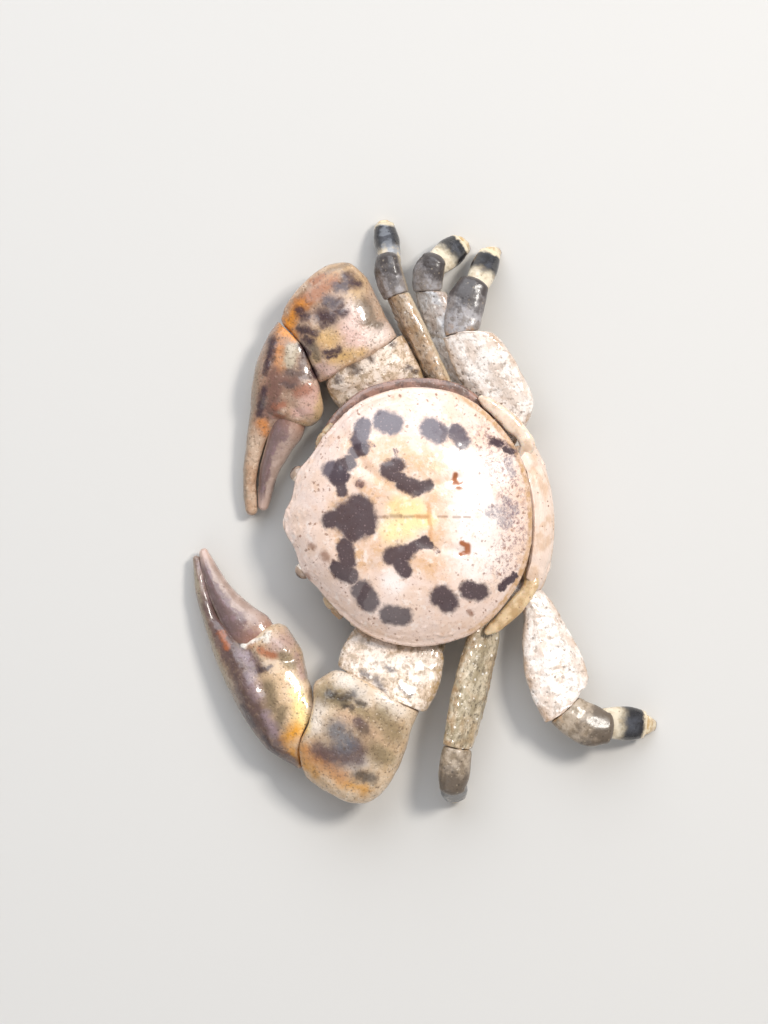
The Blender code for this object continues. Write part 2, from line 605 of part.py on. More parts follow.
# Clearances between neighbours, from the body outwards
for side, word in ((1, "left"), (-1, "right")):
    eye, small, base, whip, mouth = head[side]
    arm, wrist, hand, finger = claws[word]
    first, second, third = (legs[f"leg_{number}_{word}"] for number in (1, 2, 3))
    arm_folded, hand_folded = cleaners[word]
    clear_of(arm, whip)
    clear_of(first[0], arm, wrist, whip)
    clear_of(second[0], first[0], third[0], third[1], whip)
    clear_of(third[0], arm_folded, hand_folded, *abdomen[1:4])
    clear_of(arm_folded, *abdomen[:3])
    clear_of(sternum, mouth, arm, first[0], second[0], third[0], arm_folded)
    clear_of(carapace, eye, small, base, arm, first[0], second[0], third[0], arm_folded,
             hand_folded)
clear_of(carapace, *abdomen[:2])
stand_at_origin()
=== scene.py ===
# %% [markdown]
# # A porcelain crab, life size
# A porcelain crab is a flat shore crab with a smooth, domed back shield, two broad claws and
# three pairs of walking legs that show. A fourth pair is tiny and folds over the rear margin.
# Each lesson below makes one piece of it or one finish, and says why it is made that way.
# The solid model gives the size and place of everything. It is loaded first and never moved.

# %% Load the solid model
import math

import bpy
import numpy as np
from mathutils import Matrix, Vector, noise


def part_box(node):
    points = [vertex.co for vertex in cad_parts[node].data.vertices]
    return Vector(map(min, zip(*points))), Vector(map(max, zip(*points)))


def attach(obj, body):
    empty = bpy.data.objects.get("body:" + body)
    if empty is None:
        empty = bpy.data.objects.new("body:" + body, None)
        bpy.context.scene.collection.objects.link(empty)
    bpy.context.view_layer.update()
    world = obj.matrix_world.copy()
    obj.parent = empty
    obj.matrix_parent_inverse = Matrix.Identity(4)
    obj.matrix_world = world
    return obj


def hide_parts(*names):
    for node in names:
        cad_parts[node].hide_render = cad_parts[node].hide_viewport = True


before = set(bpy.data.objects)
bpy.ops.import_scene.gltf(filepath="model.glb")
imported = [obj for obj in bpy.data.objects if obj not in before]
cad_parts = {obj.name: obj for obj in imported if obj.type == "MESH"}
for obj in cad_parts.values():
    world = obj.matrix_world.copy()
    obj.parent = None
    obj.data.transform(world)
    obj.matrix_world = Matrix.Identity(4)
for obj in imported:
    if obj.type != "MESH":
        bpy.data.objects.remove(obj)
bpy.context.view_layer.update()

# %% [markdown]
# ## The crab's own millimetres
# The tables below are in millimetres about the middle of the crab's body: +X is its left, -Y
# its front, +Z up. The solid model stands with the middle of its box over the origin, so all
# tables are moved by the same small step, which is read from the solid back shield.

# %% From the crab's millimetres to the scene
MM = 0.001                       # metres in a millimetre
SHIELD_FRONT, SHIELD_LENGTH, SHIELD_WIDTH = -7.55, 14.55, 15.1
low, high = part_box("carapace")
STAND = np.array(((low.x + high.x) / 2 / MM, low.y / MM - SHIELD_FRONT, 0.0))
print("tables move by", STAND.round(3), "mm")

# %% [markdown]
# ## The camera
# The crab is seen from straight above, with its front to the left of the picture. A camera
# that looks down needs no tilt, only a turn about the vertical, so that turn, the middle of
# the picture and its height on the crab are the three numbers that matter. The lens follows
# from the height and the distance.

# %% Place the camera
VIEW_TURN = 87.2                 # degrees, from the crab's left to the picture's right
VIEW_MIDDLE = (0.028, -2.11)     # mm, the scene's point in the middle of the picture
VIEW_HEIGHT = 60.2               # mm of crab from the picture's top to its bottom
VIEW_LEVEL = 2.2                 # mm above the floor, where that height is measured
VIEW_DISTANCE = 260.0            # mm from there to the lens
lens = bpy.data.cameras.new("camera")
lens.sensor_fit = "VERTICAL"
lens.sensor_height = 24.0
lens.lens = lens.sensor_height * VIEW_DISTANCE / VIEW_HEIGHT
lens.clip_start = 0.005
camera = bpy.data.objects.new("camera", lens)
bpy.context.collection.objects.link(camera)
camera.location = Vector((*VIEW_MIDDLE, VIEW_LEVEL + VIEW_DISTANCE)) * MM
camera.rotation_euler = (0.0, 0.0, math.radians(VIEW_TURN))
bpy.context.scene.camera = camera
print("lens", round(lens.lens, 1), "mm")

# %% [markdown]
# ## Smooth curves through a few rows
# Every limb is drawn through a handful of cross-sections. A Catmull-Rom curve passes through
# each row, so the tables stay short and the shell between them is smooth. Reading all places
# at once with arrays is far quicker than a loop over points.


# %% Read a smooth curve
def through(rows, places, closed=False):
    """Rows read off a smooth curve; place 0 is the first row, 1 the second and so on."""
    rows = np.asarray(rows, dtype=float)
    total = len(rows)
    places = np.asarray(places, dtype=float)
    first = np.floor(places).astype(int)
    if not closed:
        first = np.clip(first, 0, total - 2)
    t = (places - first)[:, None]
    a, b, c, d = (rows[(first + k) % total] if closed else
                  rows[np.clip(first + k, 0, total - 1)] for k in (-1, 0, 1, 2))
    return 0.5 * (2 * b + (c - a) * t + (2 * a - 5 * b + 4 * c - d) * t ** 2
                  + (3 * b - a - 3 * c + d) * t ** 3)


def unit(vectors):
    """The same directions, one long."""
    size = np.linalg.norm(vectors, axis=-1, keepdims=True)
    return vectors / np.maximum(size, 1e-9)


# %% [markdown]
# ## Ripples and small swellings
# A real shell is never quite even. Slow random waves give it soft swellings, and quick ones a
# fine grain. A gentle groove or bump that belongs to the animal is set with a stroke: its
# weight is 1 on a short line and fades away beside it.


# %% Random waves and strokes
def waves(points, per_mm, seed=0.0):
    """Smooth random waves from -1 to 1 at each point."""
    flat = points.reshape(-1, 3) * per_mm + seed
    heights = np.array([noise.noise(Vector(place)) for place in flat])
    return heights.reshape(points.shape[:-1])


def stroke(points, start, end, width):
    """1 on the line from start to end in plan, fading to 0 beside it."""
    start, end = np.array(start, dtype=float), np.array(end, dtype=float)
    way = end - start
    t = ((points[..., :2] - start) @ way) / max(way @ way, 1e-9)
    nearest = start + np.clip(t, 0, 1)[..., None] * way
    away = np.linalg.norm(points[..., :2] - nearest, axis=-1)
    return np.exp(-(away / width) ** 2)


# %% [markdown]
# ## A closed body from rings
# A limb piece is a tube of rings with a domed end at each side. It is kept as a grid of
# points, ring by ring, so that later steps can still tell where on the limb a point lies.
# Four marks go with every point: how far along the piece it is in millimetres, the same as a
# share from 0 to 1, how far across (-1 to 1), and how high (-1 underneath, 1 on top). The
# finishes read them, for example to put the black band round a leg.


# %% Draw a body through cross-sections
CAP_RINGS = 9
FULLNESS = 0.85                  # 1 makes an oval section, less makes it fuller


def body(sections, rings=60, around=48, cap=0.5):
    """A dictionary of points and marks for one closed body."""
    rows = through(sections, np.linspace(0, len(sections) - 1, rings))
    ahead = unit(np.gradient(rows[:, :3], axis=0))
    turn = np.linspace(0, math.pi / 2, CAP_RINGS + 1)[1:]
    order = [0] * CAP_RINGS + list(range(rings)) + [rings - 1] * CAP_RINGS
    shrink = np.concatenate((np.cos(turn)[::-1], np.ones(rings), np.cos(turn)))
    shrink = np.maximum(shrink, 0.02)
    shift = np.concatenate((-np.sin(turn)[::-1], np.zeros(rings), np.sin(turn))) * cap
    rows, ahead = rows[order], ahead[order]
    half = rows[:, 3:6]
    normal = unit(np.cross(half, ahead))
    normal = np.where(normal[:, 2:3] < 0, -normal, normal)
    angle = np.linspace(0, 2 * math.pi, around, endpoint=False)
    side = np.sign(np.cos(angle)) * np.abs(np.cos(angle)) ** FULLNESS
    rise = np.sign(np.sin(angle)) * np.abs(np.sin(angle)) ** FULLNESS
    tall = np.where(rise[None, :] > 0, rows[:, 6:7], rows[:, 7:8])
    middle = rows[:, :3] + ahead * shift[:, None]
    points = middle[:, None] + shrink[:, None, None] * (
        half[:, None] * side[None, :, None]
        + normal[:, None] * (rise[None] * tall)[..., None])
    steps = np.linalg.norm(np.diff(middle, axis=0), axis=1)
    along = np.concatenate(([0.0], np.cumsum(steps)))
    flat = np.ones((1, around))
    return {"points": points, "along": along[:, None] * flat,
            "run": along[:, None] / along[-1] * flat,
            "across": shrink[:, None] * side[None], "upper": shrink[:, None] * rise[None]}


def outward(shape):
    """The direction that the surface faces at each point of the grid."""
    points = shape["points"]
    sideways = np.roll(points, -1, axis=1) - np.roll(points, 1, axis=1)
    onwards = np.gradient(points, axis=0)
    facing = unit(np.cross(sideways, onwards))
    away = points - points.mean(axis=1, keepdims=True)
    if (facing * away).sum() < 0:
        facing = -facing
    return facing


def swell(shape, heights):
    """Raise the surface by so many millimetres at each point."""
    shape["points"] = shape["points"] + outward(shape) * heights[..., None]


# %% [markdown]
# ## Joints between limb pieces
# Where two pieces of a limb meet, each ends in a rounded lip against the same surface. A cut
# with a Boolean would leave a knife edge. Here the rings that pass it are drawn back on to it
# and inwards instead, so the end closes like the rim of a real joint, and the two lips leave a
# thin dark crease. A real joint line is bowed, so the surface may be a plane with a wave in it.


# %% End a body at a joint
LIP = 0.28                       # mm, how soon a piece rounds over at its joint
CREASE = 0.015                   # mm between the joint's surface and each lip


def end_at(shape, joint, side, lip=LIP):
    """Close a body against a joint: its place, direction, and wave height, length and turn."""
    place, direction, height, length, turn = joint
    place, direction = np.array(place, dtype=float), unit(np.array(direction, dtype=float))
    sideways = unit(np.cross((0, 0, 1), direction))
    points, way = shape["points"], side * direction
    wave = height * np.sin(2 * math.pi * ((points - place) @ sideways) / length + turn)
    beyond = side * ((points - place) @ direction - wave) + CREASE
    share = np.clip((beyond + lip) / (beyond.max() + lip), 0, 1)
    inwards = (1 - share ** 3) ** (1 / 3)
    depth = -lip * (1 - share) ** 4
    flat = points - beyond[..., None] * way
    heart = flat[beyond > -lip].mean(axis=0)
    moved = heart + (flat - heart) * inwards[..., None] + depth[..., None] * way
    shape["points"] = np.where((beyond > -lip)[..., None], moved, points)


# %% [markdown]
# ## From a grid to a piece
# The grid becomes a mesh of four-sided faces with a fan of triangles at each pole. The marks
# are stored on the mesh as attributes. Every piece rides on the crab's one body and hides
# the solid pieces it stands for.


# %% Make a mesh and register it
FLOOR_SKIM = 0.01                # mm, the lowest that any point may lie
PIECES = []


def make_piece(name, points, faces, marks, finish, stands_for):
    """One object from points in the crab's millimetres."""
    points = points + STAND
    points[:, 2] = np.maximum(points[:, 2], FLOOR_SKIM)
    mesh = bpy.data.meshes.new(name)
    mesh.from_pydata((points * MM).tolist(), [], faces)
    for label, values in marks.items():
        mark = mesh.attributes.new(label, "FLOAT", "POINT")
        mark.data.foreach_set("value", np.ascontiguousarray(values, dtype=np.float32))
    mesh.materials.append(finish)
    mesh.shade_smooth()
    piece = bpy.data.objects.new(name, mesh)
    bpy.context.collection.objects.link(piece)
    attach(piece, "root")
    if stands_for:
        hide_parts(*stands_for)
    PIECES.append(name)
    return piece


def grid_faces(rings, around):
    """Faces of a closed tube; the two poles come after the rings."""
    ring, k = np.meshgrid(np.arange(rings - 1), np.arange(around), indexing="ij")
    after = (k + 1) % around
    quads = np.stack((ring * around + k, ring * around + after, (ring + 1) * around + after,
                      (ring + 1) * around + k), axis=-1).reshape(-1, 4).tolist()
    first, last, end = rings * around, rings * around + 1, (rings - 1) * around
    for k in range(around):
        after = (k + 1) % around
        quads.append((first, after, k))
        quads.append((last, end + k, end + after))
    return quads


def outward_sign(points):
    """Positive where the quads already face outwards."""
    first = points[:-1, :-1]
    facing = np.cross(points[:-1, 1:] - first, points[1:, :-1] - first)
    away = first - points[:-1].mean(axis=1, keepdims=True)
    return (facing * away).sum()


def finish_body(name, shape, finish, slot, stands_for=()):
    """Turn a grid into a piece, with a pole at each end."""
    points = shape["points"]
    rings, around = points.shape[:2]
    poles = np.array((points[0].mean(axis=0), points[-1].mean(axis=0)))
    flat = np.concatenate((points.reshape(-1, 3), poles))
    marks = {}
    for label in ("along", "run", "across", "upper"):
        grid = shape[label]
        marks[label] = np.concatenate((grid.ravel(), (grid[0].mean(), grid[-1].mean())))
    faces = grid_faces(rings, around)
    if outward_sign(points) <= 0:
        faces = [face[::-1] for face in faces]
    return make_piece(name, flat, faces, marks, finish, stands_for)


# %% [markdown]
# ## Colours as the eye names them
# Colours are noted as screen values from 0 to 255, as a painter would pick them, and turned
# into the linear values that the shaders want.


# %% Name the paints
def paint(red, green, blue):
    """A colour for a shader from screen values."""
    linear = [(value / 255 / 12.92) if value < 11 else ((value / 255 + 0.055) / 1.055) ** 2.4
              for value in (red, green, blue)]
    return (*linear, 1.0)


CREAM = paint(238, 212, 198)
PEACH = paint(232, 194, 162)
GLOW = paint(250, 224, 158)
PLUM = paint(66, 48, 54)
FRECKLE_BROWN = paint(140, 96, 72)
RED_BROWN = paint(158, 84, 30)
WALL_BROWN_AND_SHADE = paint(94, 60, 46)
ROSE = paint(222, 184, 172)
OCHRE = paint(170, 124, 72)
BAND_BLACK = paint(36, 33, 34)
HORN = paint(228, 208, 172)

# %% [markdown]
# ## Placing nodes with few words
# A node tree is a list of nodes and links. This helper places one node, sets its options and
# fills its inputs, either with a value or with another node's output, so that a finish reads
# from top to bottom like a recipe.


# %% Helpers for node trees
def add(tree, kind, inputs=(), **options):
    """Place a node, set its options, and fill its inputs with values or outputs."""
    made = tree.nodes.new("ShaderNode" + kind)
    for label, value in options.items():
        setattr(made, label, value)
    for label, value in dict(inputs).items():
        if isinstance(value, bpy.types.NodeSocket):
            tree.links.new(value, made.inputs[label])
        else:
            made.inputs[label].default_value = value
    return made


def maths(tree, operation, *values):
    return add(tree, "Math", enumerate(values), operation=operation).outputs[0]


def vectors(tree, operation, *values):
    made = add(tree, "VectorMath", enumerate(values), operation=operation)
    number = operation in ("DOT_PRODUCT", "LENGTH", "DISTANCE")
    return made.outputs["Value" if number else "Vector"]


def fade(tree, value, low, high, to_low=0.0, to_high=1.0):
    """Ease a value from one range to another."""
    return add(tree, "MapRange", {"Value": value, "From Min": low, "From Max": high,
                                  "To Min": to_low, "To Max": to_high},
               interpolation_type="SMOOTHSTEP").outputs["Result"]


def over(tree, mask, below, above):
    """Lay one colour over another where the mask is 1."""
    return add(tree, "Mix", {0: mask, 6: below, 7: above}, data_type="RGBA").outputs[2]


# %% [markdown]
# ## Shared effects
# Four effects come back again and again: a dab of colour, fine freckles, cloudy
# mottling, and the wet surface of the shell. Each is a node group, built once with named
# inputs and outputs. A group gives only masks and values. The shader stays in the material.


# %% Start a node group
def new_group(name, takes, gives):
    """An empty group; gives back its tree, its inputs and its output node's sockets."""
    tree = bpy.data.node_groups.new(name, "ShaderNodeTree")
    for label, value in takes.items():
        kind = "NodeSocketFloat" if isinstance(value, float) else "NodeSocketVector"
        made = tree.interface.new_socket(label, in_out="INPUT", socket_type=kind)
        made.default_value = value
    for label in gives:
        tree.interface.new_socket(label, in_out="OUTPUT", socket_type="NodeSocketFloat")
    return (tree, tree.nodes.new("NodeGroupInput").outputs,
            tree.nodes.new("NodeGroupOutput").inputs)


# %% [markdown]
# A dab is a short brush stroke seen from above: the distance from a line, faded at its rim.
# With noise added to the place beforehand, its rim turns ragged like real pigment.

# %% Group: a dab of colour
DAB, takes, gives = new_group("Dab", {
    "Place": (0, 0, 0), "Start": (0, 0, 0), "Way": (1, 0, 0), "Length": 0.0, "Width": 0.5,
    "Softness": 0.25}, ["Mask"])
away = vectors(DAB, "SUBTRACT", takes["Place"], takes["Start"])
reach = maths(DAB, "MAXIMUM", vectors(DAB, "DOT_PRODUCT", away, takes["Way"]), 0.0)
reach = maths(DAB, "MINIMUM", reach, takes["Length"])
nearest = add(DAB, "VectorMath", {0: takes["Way"], 3: reach}, operation="SCALE").outputs[0]
distance = maths(DAB, "DIVIDE", vectors(DAB, "DISTANCE", away, nearest), takes["Width"])
inner = maths(DAB, "SUBTRACT", 1.0, takes["Softness"])
outer = maths(DAB, "ADD", 1.0, takes["Softness"])
DAB.links.new(fade(DAB, distance, inner, outer, 1.0, 0.0), gives["Mask"])
print("group", DAB.name, len(DAB.nodes), "nodes")

# %% [markdown]
# Freckles are a cell pattern with one round dot in some of its cells. Each cell's random
# colour decides whether it has a dot, and how large that is.

# %% Group: freckles
FRECKLES, takes, gives = new_group("Freckles", {
    "Place": (0, 0, 0), "Per mm": 3.0, "Size": 0.3, "Share": 0.5}, ["Mask"])
cells = add(FRECKLES, "TexVoronoi", {"Vector": takes["Place"], "Scale": takes["Per mm"]})
chance = add(FRECKLES, "SeparateColor", {0: cells.outputs["Color"]})
there = maths(FRECKLES, "LESS_THAN", chance.outputs[0], takes["Share"])
size = maths(FRECKLES, "MULTIPLY", takes["Size"],
             maths(FRECKLES, "MULTIPLY_ADD", chance.outputs[1], 0.6, 0.4))
dot = fade(FRECKLES, cells.outputs["Distance"], maths(FRECKLES, "MULTIPLY", size, 0.5), size,
           1.0, 0.0)
FRECKLES.links.new(maths(FRECKLES, "MULTIPLY", dot, there), gives["Mask"])
print("group", FRECKLES.name, len(FRECKLES.nodes), "nodes")

# %% [markdown]
# Mottling is cloudy noise with its contrast raised, so that patches have a clear inside and
# outside.

# %% Group: mottling
MOTTLING, takes, gives = new_group("Mottling", {
    "Place": (0, 0, 0), "Per mm": 1.0, "Ragged": 0.6, "Low": 0.45, "High": 0.6}, ["Mask"])
cloud = add(MOTTLING, "TexNoise", {"Vector": takes["Place"], "Scale": takes["Per mm"],
                                   "Detail": 5.0, "Roughness": takes["Ragged"]})
MOTTLING.links.new(fade(MOTTLING, cloud.outputs[0], takes["Low"], takes["High"]),
                   gives["Mask"])
print("group", MOTTLING.name, len(MOTTLING.nodes), "nodes")

# %% [markdown]
# The shell is wet: smooth in most places, a little duller in patches, and pitted all over by
# tiny pores. This group gives both the roughness and the height of that surface.

# %% Group: wet shell
WET_SHELL, takes, gives = new_group("Wet shell", {
    "Place": (0, 0, 0), "Pores per mm": 5.0, "Pore depth": 0.5, "Sleek": 0.2,
    "Dull": 0.45}, ["Roughness", "Height"])
patch = add(WET_SHELL, "TexNoise", {"Vector": takes["Place"], "Scale": 1.3, "Detail": 3.0})
gleam = add(WET_SHELL, "MapRange", {"Value": patch.outputs[0], "From Min": 0.35,
                                    "From Max": 0.65, "To Min": takes["Sleek"],
                                    "To Max": takes["Dull"]})
WET_SHELL.links.new(gleam.outputs[0], gives["Roughness"])
pores = add(WET_SHELL, "TexVoronoi", {"Vector": takes["Place"],
                                      "Scale": takes["Pores per mm"]},
            feature="SMOOTH_F1")
pit = fade(WET_SHELL, pores.outputs["Distance"], 0.0, 0.35)
sunk = maths(WET_SHELL, "MULTIPLY", pit, takes["Pore depth"])
ripple = add(WET_SHELL, "TexNoise", {"Vector": takes["Place"], "Scale": 2.2, "Detail": 4.0})
WET_SHELL.links.new(maths(WET_SHELL, "ADD", sunk, ripple.outputs[0]), gives["Height"])
print("group", WET_SHELL.name, len(WET_SHELL.nodes), "nodes")

# %% [markdown]
# ## A finish in the making
# A finish starts from the place of the point in the crab's millimetres, once exact and once
# seen from above with a ragged shift for pigment rims. Paints are then laid one over another,
# each through its masks. It ends in the same glossy shader with a clear wet coat, whose own
# constants are set on its sockets.

# %% Paint a material layer by layer
class Finish:
    """A material, the places to paint at, and the colour so far."""

    def __init__(self, name, ground, ragged=0.3):
        self.material = bpy.data.materials.new(name)
        self.material.use_nodes = True
        self.tree = tree = self.material.node_tree
        self.colour = ground
        spot = add(tree, "TexCoord").outputs["Object"]
        self.place = add(tree, "VectorMath", {0: spot, 1: (1 / MM,) * 3, 2: tuple(-STAND)},
                         operation="MULTIPLY_ADD").outputs[0]
        stir = add(tree, "TexNoise", {"Vector": self.place, "Scale": 2.6, "Detail": 4.0,
                                      "Roughness": 0.65}).outputs["Color"]
        stir = vectors(tree, "SUBTRACT", stir, (0.5, 0.5, 0.5))
        shifted = add(tree, "VectorMath", {0: stir, 1: (ragged * 2.0,) * 3, 2: self.place},
                      operation="MULTIPLY_ADD").outputs[0]
        self.plan = vectors(tree, "MULTIPLY", shifted, (1, 1, 0))

    def maths(self, operation, *values):
        return maths(self.tree, operation, *values)

    def times(self, value, *others):
        """The product of masks and numbers."""
        for other in others:
            value = self.maths("MULTIPLY", value, other)
        return value

    def scaled(self, value, by, plus):
        return self.maths("MULTIPLY_ADD", value, by, plus)

    def fade(self, *values):
        return fade(self.tree, *values)

    def mark(self, label):
        """Read one of the marks stored on the mesh."""
        return add(self.tree, "Attribute", attribute_name=label).outputs["Fac"]

    def edge(self, *values):
        """Fade towards the two long edges of a limb piece."""
        return self.fade(self.maths("ABSOLUTE", self.mark("across")), *values)

    def along_limb(self, along_scale, across_scale):
        """A place that follows the limb: slow along it, quick across it."""
        scales = {"along": along_scale, "across": across_scale, "upper": across_scale * 0.6}
        parts = [self.times(self.mark(label), scale) for label, scale in scales.items()]
        return add(self.tree, "CombineXYZ", enumerate(parts)).outputs[0]

    def freckles(self, per_mm, size, share, at=None):
        return add(self.tree, "Group", {"Place": at or self.place, "Per mm": per_mm,
                                        "Size": size, "Share": share},
                   node_tree=FRECKLES).outputs[0]

    def mottling(self, per_mm, low, high, ragged=0.6, at=None):
        return add(self.tree, "Group", {"Place": at or self.place, "Per mm": per_mm,
                                        "Ragged": ragged, "Low": low, "High": high},
                   node_tree=MOTTLING).outputs[0]

    def dabs(self, rows, softness=0.25, at=None, spread=1.0):
        """One mask for a list of dabs: start x and y, end x and y, and width, in mm."""
        mask = None
        for x1, y1, x2, y2, width in rows:
            way = Vector((x2 - x1, y2 - y1, 0))
            one = add(self.tree, "Group", {
                "Place": at or self.plan, "Start": (x1, y1, 0), "Way": tuple(way.normalized()),
                "Length": way.length, "Width": width * spread, "Softness": softness},
                node_tree=DAB).outputs[0]
            mask = one if mask is None else self.maths("MAXIMUM", mask, one)
        return mask

    def blobs(self, rows, softness=0.62, rough=0.5, spread=1.08):
        """Soft dabs cut off at a ragged level, so that pigment frays at their rims."""
        grain = add(self.tree, "TexNoise", {"Vector": self.plan, "Scale": 4.0, "Detail": 4.0,
                                            "Roughness": 0.65}).outputs[0]
        level = self.scaled(grain, rough, self.dabs(rows, softness, spread=spread))
        cut = 0.5 + rough / 2
        return self.fade(level, cut - 0.3, cut + 0.34)

    def lay(self, shade, *masks):
        """Lay a colour over the others where all masks are 1; a number makes it weaker."""
        self.colour = over(self.tree, self.times(*masks), self.colour, shade)

    def underneath(self, pale):
        """Lay a pale colour over the underside of a limb piece."""
        self.lay(pale, self.fade(self.mark("upper"), -0.55, -0.05, 0.85, 0.0))

    def seal(self, coat=0.7, sleek=0.22, dull=0.45, pores=5.0, pore_depth=0.5, bump=0.05,
             coat_roughness=0.07, glow=0.0):
        """Wire the colour and the wet surface into the shader, and give the material back."""
        tree, shader = self.tree, self.tree.nodes["Principled BSDF"]
        wet = add(tree, "Group", {"Place": self.place, "Pores per mm": pores,
                                  "Pore depth": pore_depth, "Sleek": sleek, "Dull": dull},
                  node_tree=WET_SHELL)
        lift = add(tree, "Bump", {"Height": wet.outputs["Height"], "Distance": bump * MM,
                                  "Strength": 0.6})
        tree.links.new(self.colour, shader.inputs["Base Color"])
        tree.links.new(wet.outputs["Roughness"], shader.inputs["Roughness"])
        tree.links.new(lift.outputs[0], shader.inputs["Normal"])
        shader.inputs["Coat Weight"].default_value = coat
        shader.inputs["Coat Roughness"].default_value = coat_roughness
        shader.inputs["IOR"].default_value = 1.5
        if glow:
            shader.inputs["Subsurface Weight"].default_value = glow
            shader.inputs["Subsurface Radius"].default_value = (1.0, 0.5, 0.25)
            shader.inputs["Subsurface Scale"].default_value = 0.6 * MM
        print("finish", self.material.name, len(tree.nodes), "nodes")
        return self.material


# %% [markdown]
# ## Finish: the back shield
# The shield is pinkish cream like unglazed china, ochre in the middle and white behind, with
# a chain of plum spots that follows the margin and two bent spots inside it. The white behind
# is partly the shell's own and partly a painted highlight of glare, and the spots on the crab's
# right are tinted slate by a painted reflection of the sky. Each spot is one dab or a few.
# Spots
# are pigment under the surface: their rims are soft and frayed, the pale grains in them are
# painted glints on granules, and the same wet coat runs over them. Below the margin the shield
# turns dark brown, partly its own colour and partly painted shade.

# %% Paint the back shield
# Each dab is a short stroke: start x and y, end x and y, and width.
SPOTS = [
    (-0.14, -3.59, 0.06, -3.08, 1.02), (-0.05, -4.74, -0.22, -3.87, 0.51),
    (0.77, -3.53, 0.66, -3.4, 0.55), (-0.8, -3.16, -0.61, -2.88, 0.68),
    (-0.46, -2.61, 0.56, -2.55, 0.41), (1.52, -3.99, 2.38, -3.88, 0.48),
    (2.9, -4.37, 3.24, -3.75, 0.48), (2.69, -4.53, 2.79, -4.19, 0.38),
    (4.09, -3.15, 4.8, -2.75, 0.6), (5.58, -1.66, 5.74, -0.83, 0.54),
    (4.65, 1.44, 5.01, 1.8, 0.62), (4.39, 3.02, 4.54, 3.7, 0.51),
    (-3.94, -3.16, -4.12, -2.67, 0.38), (-3.13, -3.95, -3.31, -3.53, 0.44),
    (-2.51, -4.32, -2.58, -3.93, 0.41), (-2.16, -4.1, -1.64, -3.99, 0.32),
    (-2.79, -1.27, -3.04, -0.78, 0.48), (-2.44, -1.12, -2.33, -0.61, 0.31),
    (-1.98, -0.46, -1.65, 0.3, 0.44), (-1.6, 0.29, -1.79, 0.99, 0.34),
    (2.2, -1.31, 2.06, -0.52, 0.51), (2.52, -0.93, 3.09, -0.57, 0.41),
    (1.97, -0.39, 1.4, 0.66, 0.31), (1.56, 0.39, 1.67, 0.9, 0.24),
    (4.38, 4.94, 3.71, 5.82, 0.19), (-4.16, 4.91, -4.01, 5.28, 0.22),
    (-3.68, 5.6, -3.49, 6, 0.17)]
# Spots on the crab's right, tinted slate blue by a painted reflection of the sky.
SKY_TINTED_SPOTS = [
    (-5.66, -1.37, -5.47, -0.94, 0.65), (-5.45, -2.58, -4.54, -2.89, 0.46),
    (-2.95, -4.58, -2.67, -4.15, 0.51), (-5.09, 1.3, -4.79, 1.73, 0.61),
    (-4.81, 2.76, -4.25, 3.1, 0.46)]
FAINT_SPOTS = [
    (-4.23, 4.86, -4, 5.36, 0.27), (-3.91, 5.53, -3.45, 6.14, 0.26),
    (4.34, 4.9, 3.7, 5.79, 0.22), (1.91, 1.2, 2.02, 1.33, 0.17),
    (-2.09, -2.98, -2.01, -2.9, 0.19), (-3.88, -0.79, -3.7, -0.77, 0.12),
    (-4.38, -2.3, -4.27, -2.14, 0.15), (-3.77, 3.05, -3.08, 3.22, 0.14)]
GREY_SPOTS = [
    (-0.08, 4.61, -0.12, 5.86, 0.38), (-0.72, 5.46, -0.57, 5.62, 0.24),
    (0.57, 5.19, 0.65, 5.56, 0.31), (-2.96, 5.74, -2.26, 5.96, 0.24)]
BROWN_DABS = [
    (1.93, -5.26, 2.15, -5.07, 0.22), (1.34, -5.95, 1.46, -5.83, 0.17),
    (5.71, 3.06, 5.79, 3.13, 0.15), (3.11, -6.31, 3.29, -6.21, 0.14),
    (2.34, -4.68, 2.44, -4.64, 0.1), (-5.05, 1.49, -4.87, 1.56, 0.1),
    (-2.09, -2.98, -2.01, -2.9, 0.24)]
RED_MARKS = [
    (-2.34, 2.62, -1.95, 2.51, 0.15), (-1.95, 2.51, -1.62, 2.77, 0.19),
    (-1.62, 2.77, -1.75, 3.12, 0.19), (1.64, 2.78, 1.83, 3.11, 0.15),
    (1.83, 3.11, 2.17, 3.1, 0.19), (2.17, 3.1, 2.29, 2.72, 0.15)]
MEDIAN_MARKS = [
    (-0.1, -2.17, -0.08, -1.44, 0.09), (-0.12, -1.23, -0.08, -0.65, 0.12),
    (-0.03, -0.48, -0.03, 0.06, 0.09), (-0.01, 0.3, 0.03, 0.88, 0.1),
    (0.04, 1.49, 0.07, 2, 0.07), (0.12, 2.38, 0.14, 2.75, 0.07), (0.14, 2.99, 0.17, 3.33, 0.06)]
CROSS_MARKS = [(-0.72, 0.97, 1.25, 1.02, 0.12), (-0.06, 0.2, 0.02, 1.0, 0.1)]
GLOW_DABS = [(-0.54, -0.78, -0.46, 0.15, 0.6), (0.67, -1.1, 0.5, -0.41, 0.75),
             (0.17, -0.05, 0.18, 0.8, 0.55)]
EARTH_DABS = [
    (-4.24, -2.91, -3.94, -0.36, 1.0), (-1.63, -2.01, -1.23, -0.84, 1.2),
    (2.08, -3.05, 1.8, -1.67, 0.95), (-1.05, -4.09, 1, -4.02, 0.7),
    (-1.11, 1.55, 1.28, 1.6, 0.85), (-3.96, -0.7, -2.44, 2.3, 1.0),
    (2.6, 0.2, 3.2, 1.4, 0.7)]
WHITE_AND_GLARE_DABS = [(-2.57, 3.16, -2.48, 5.03, 1.0), (-0.5, 3.57, 2.41, 3.77, 1.5),
              (3.69, -1.42, 3.88, -1.09, 0.5), (-5.01, 2.25, -5.0, 2.42, 0.24)]
PEPPER_DABS = [(-4.4, 4.6, -1.4, 6.2, 1.0), (3.2, 5.2, 0.4, 6.3, 0.9),
               (-3.0, 5.0, 1.5, 6.3, 0.6)]


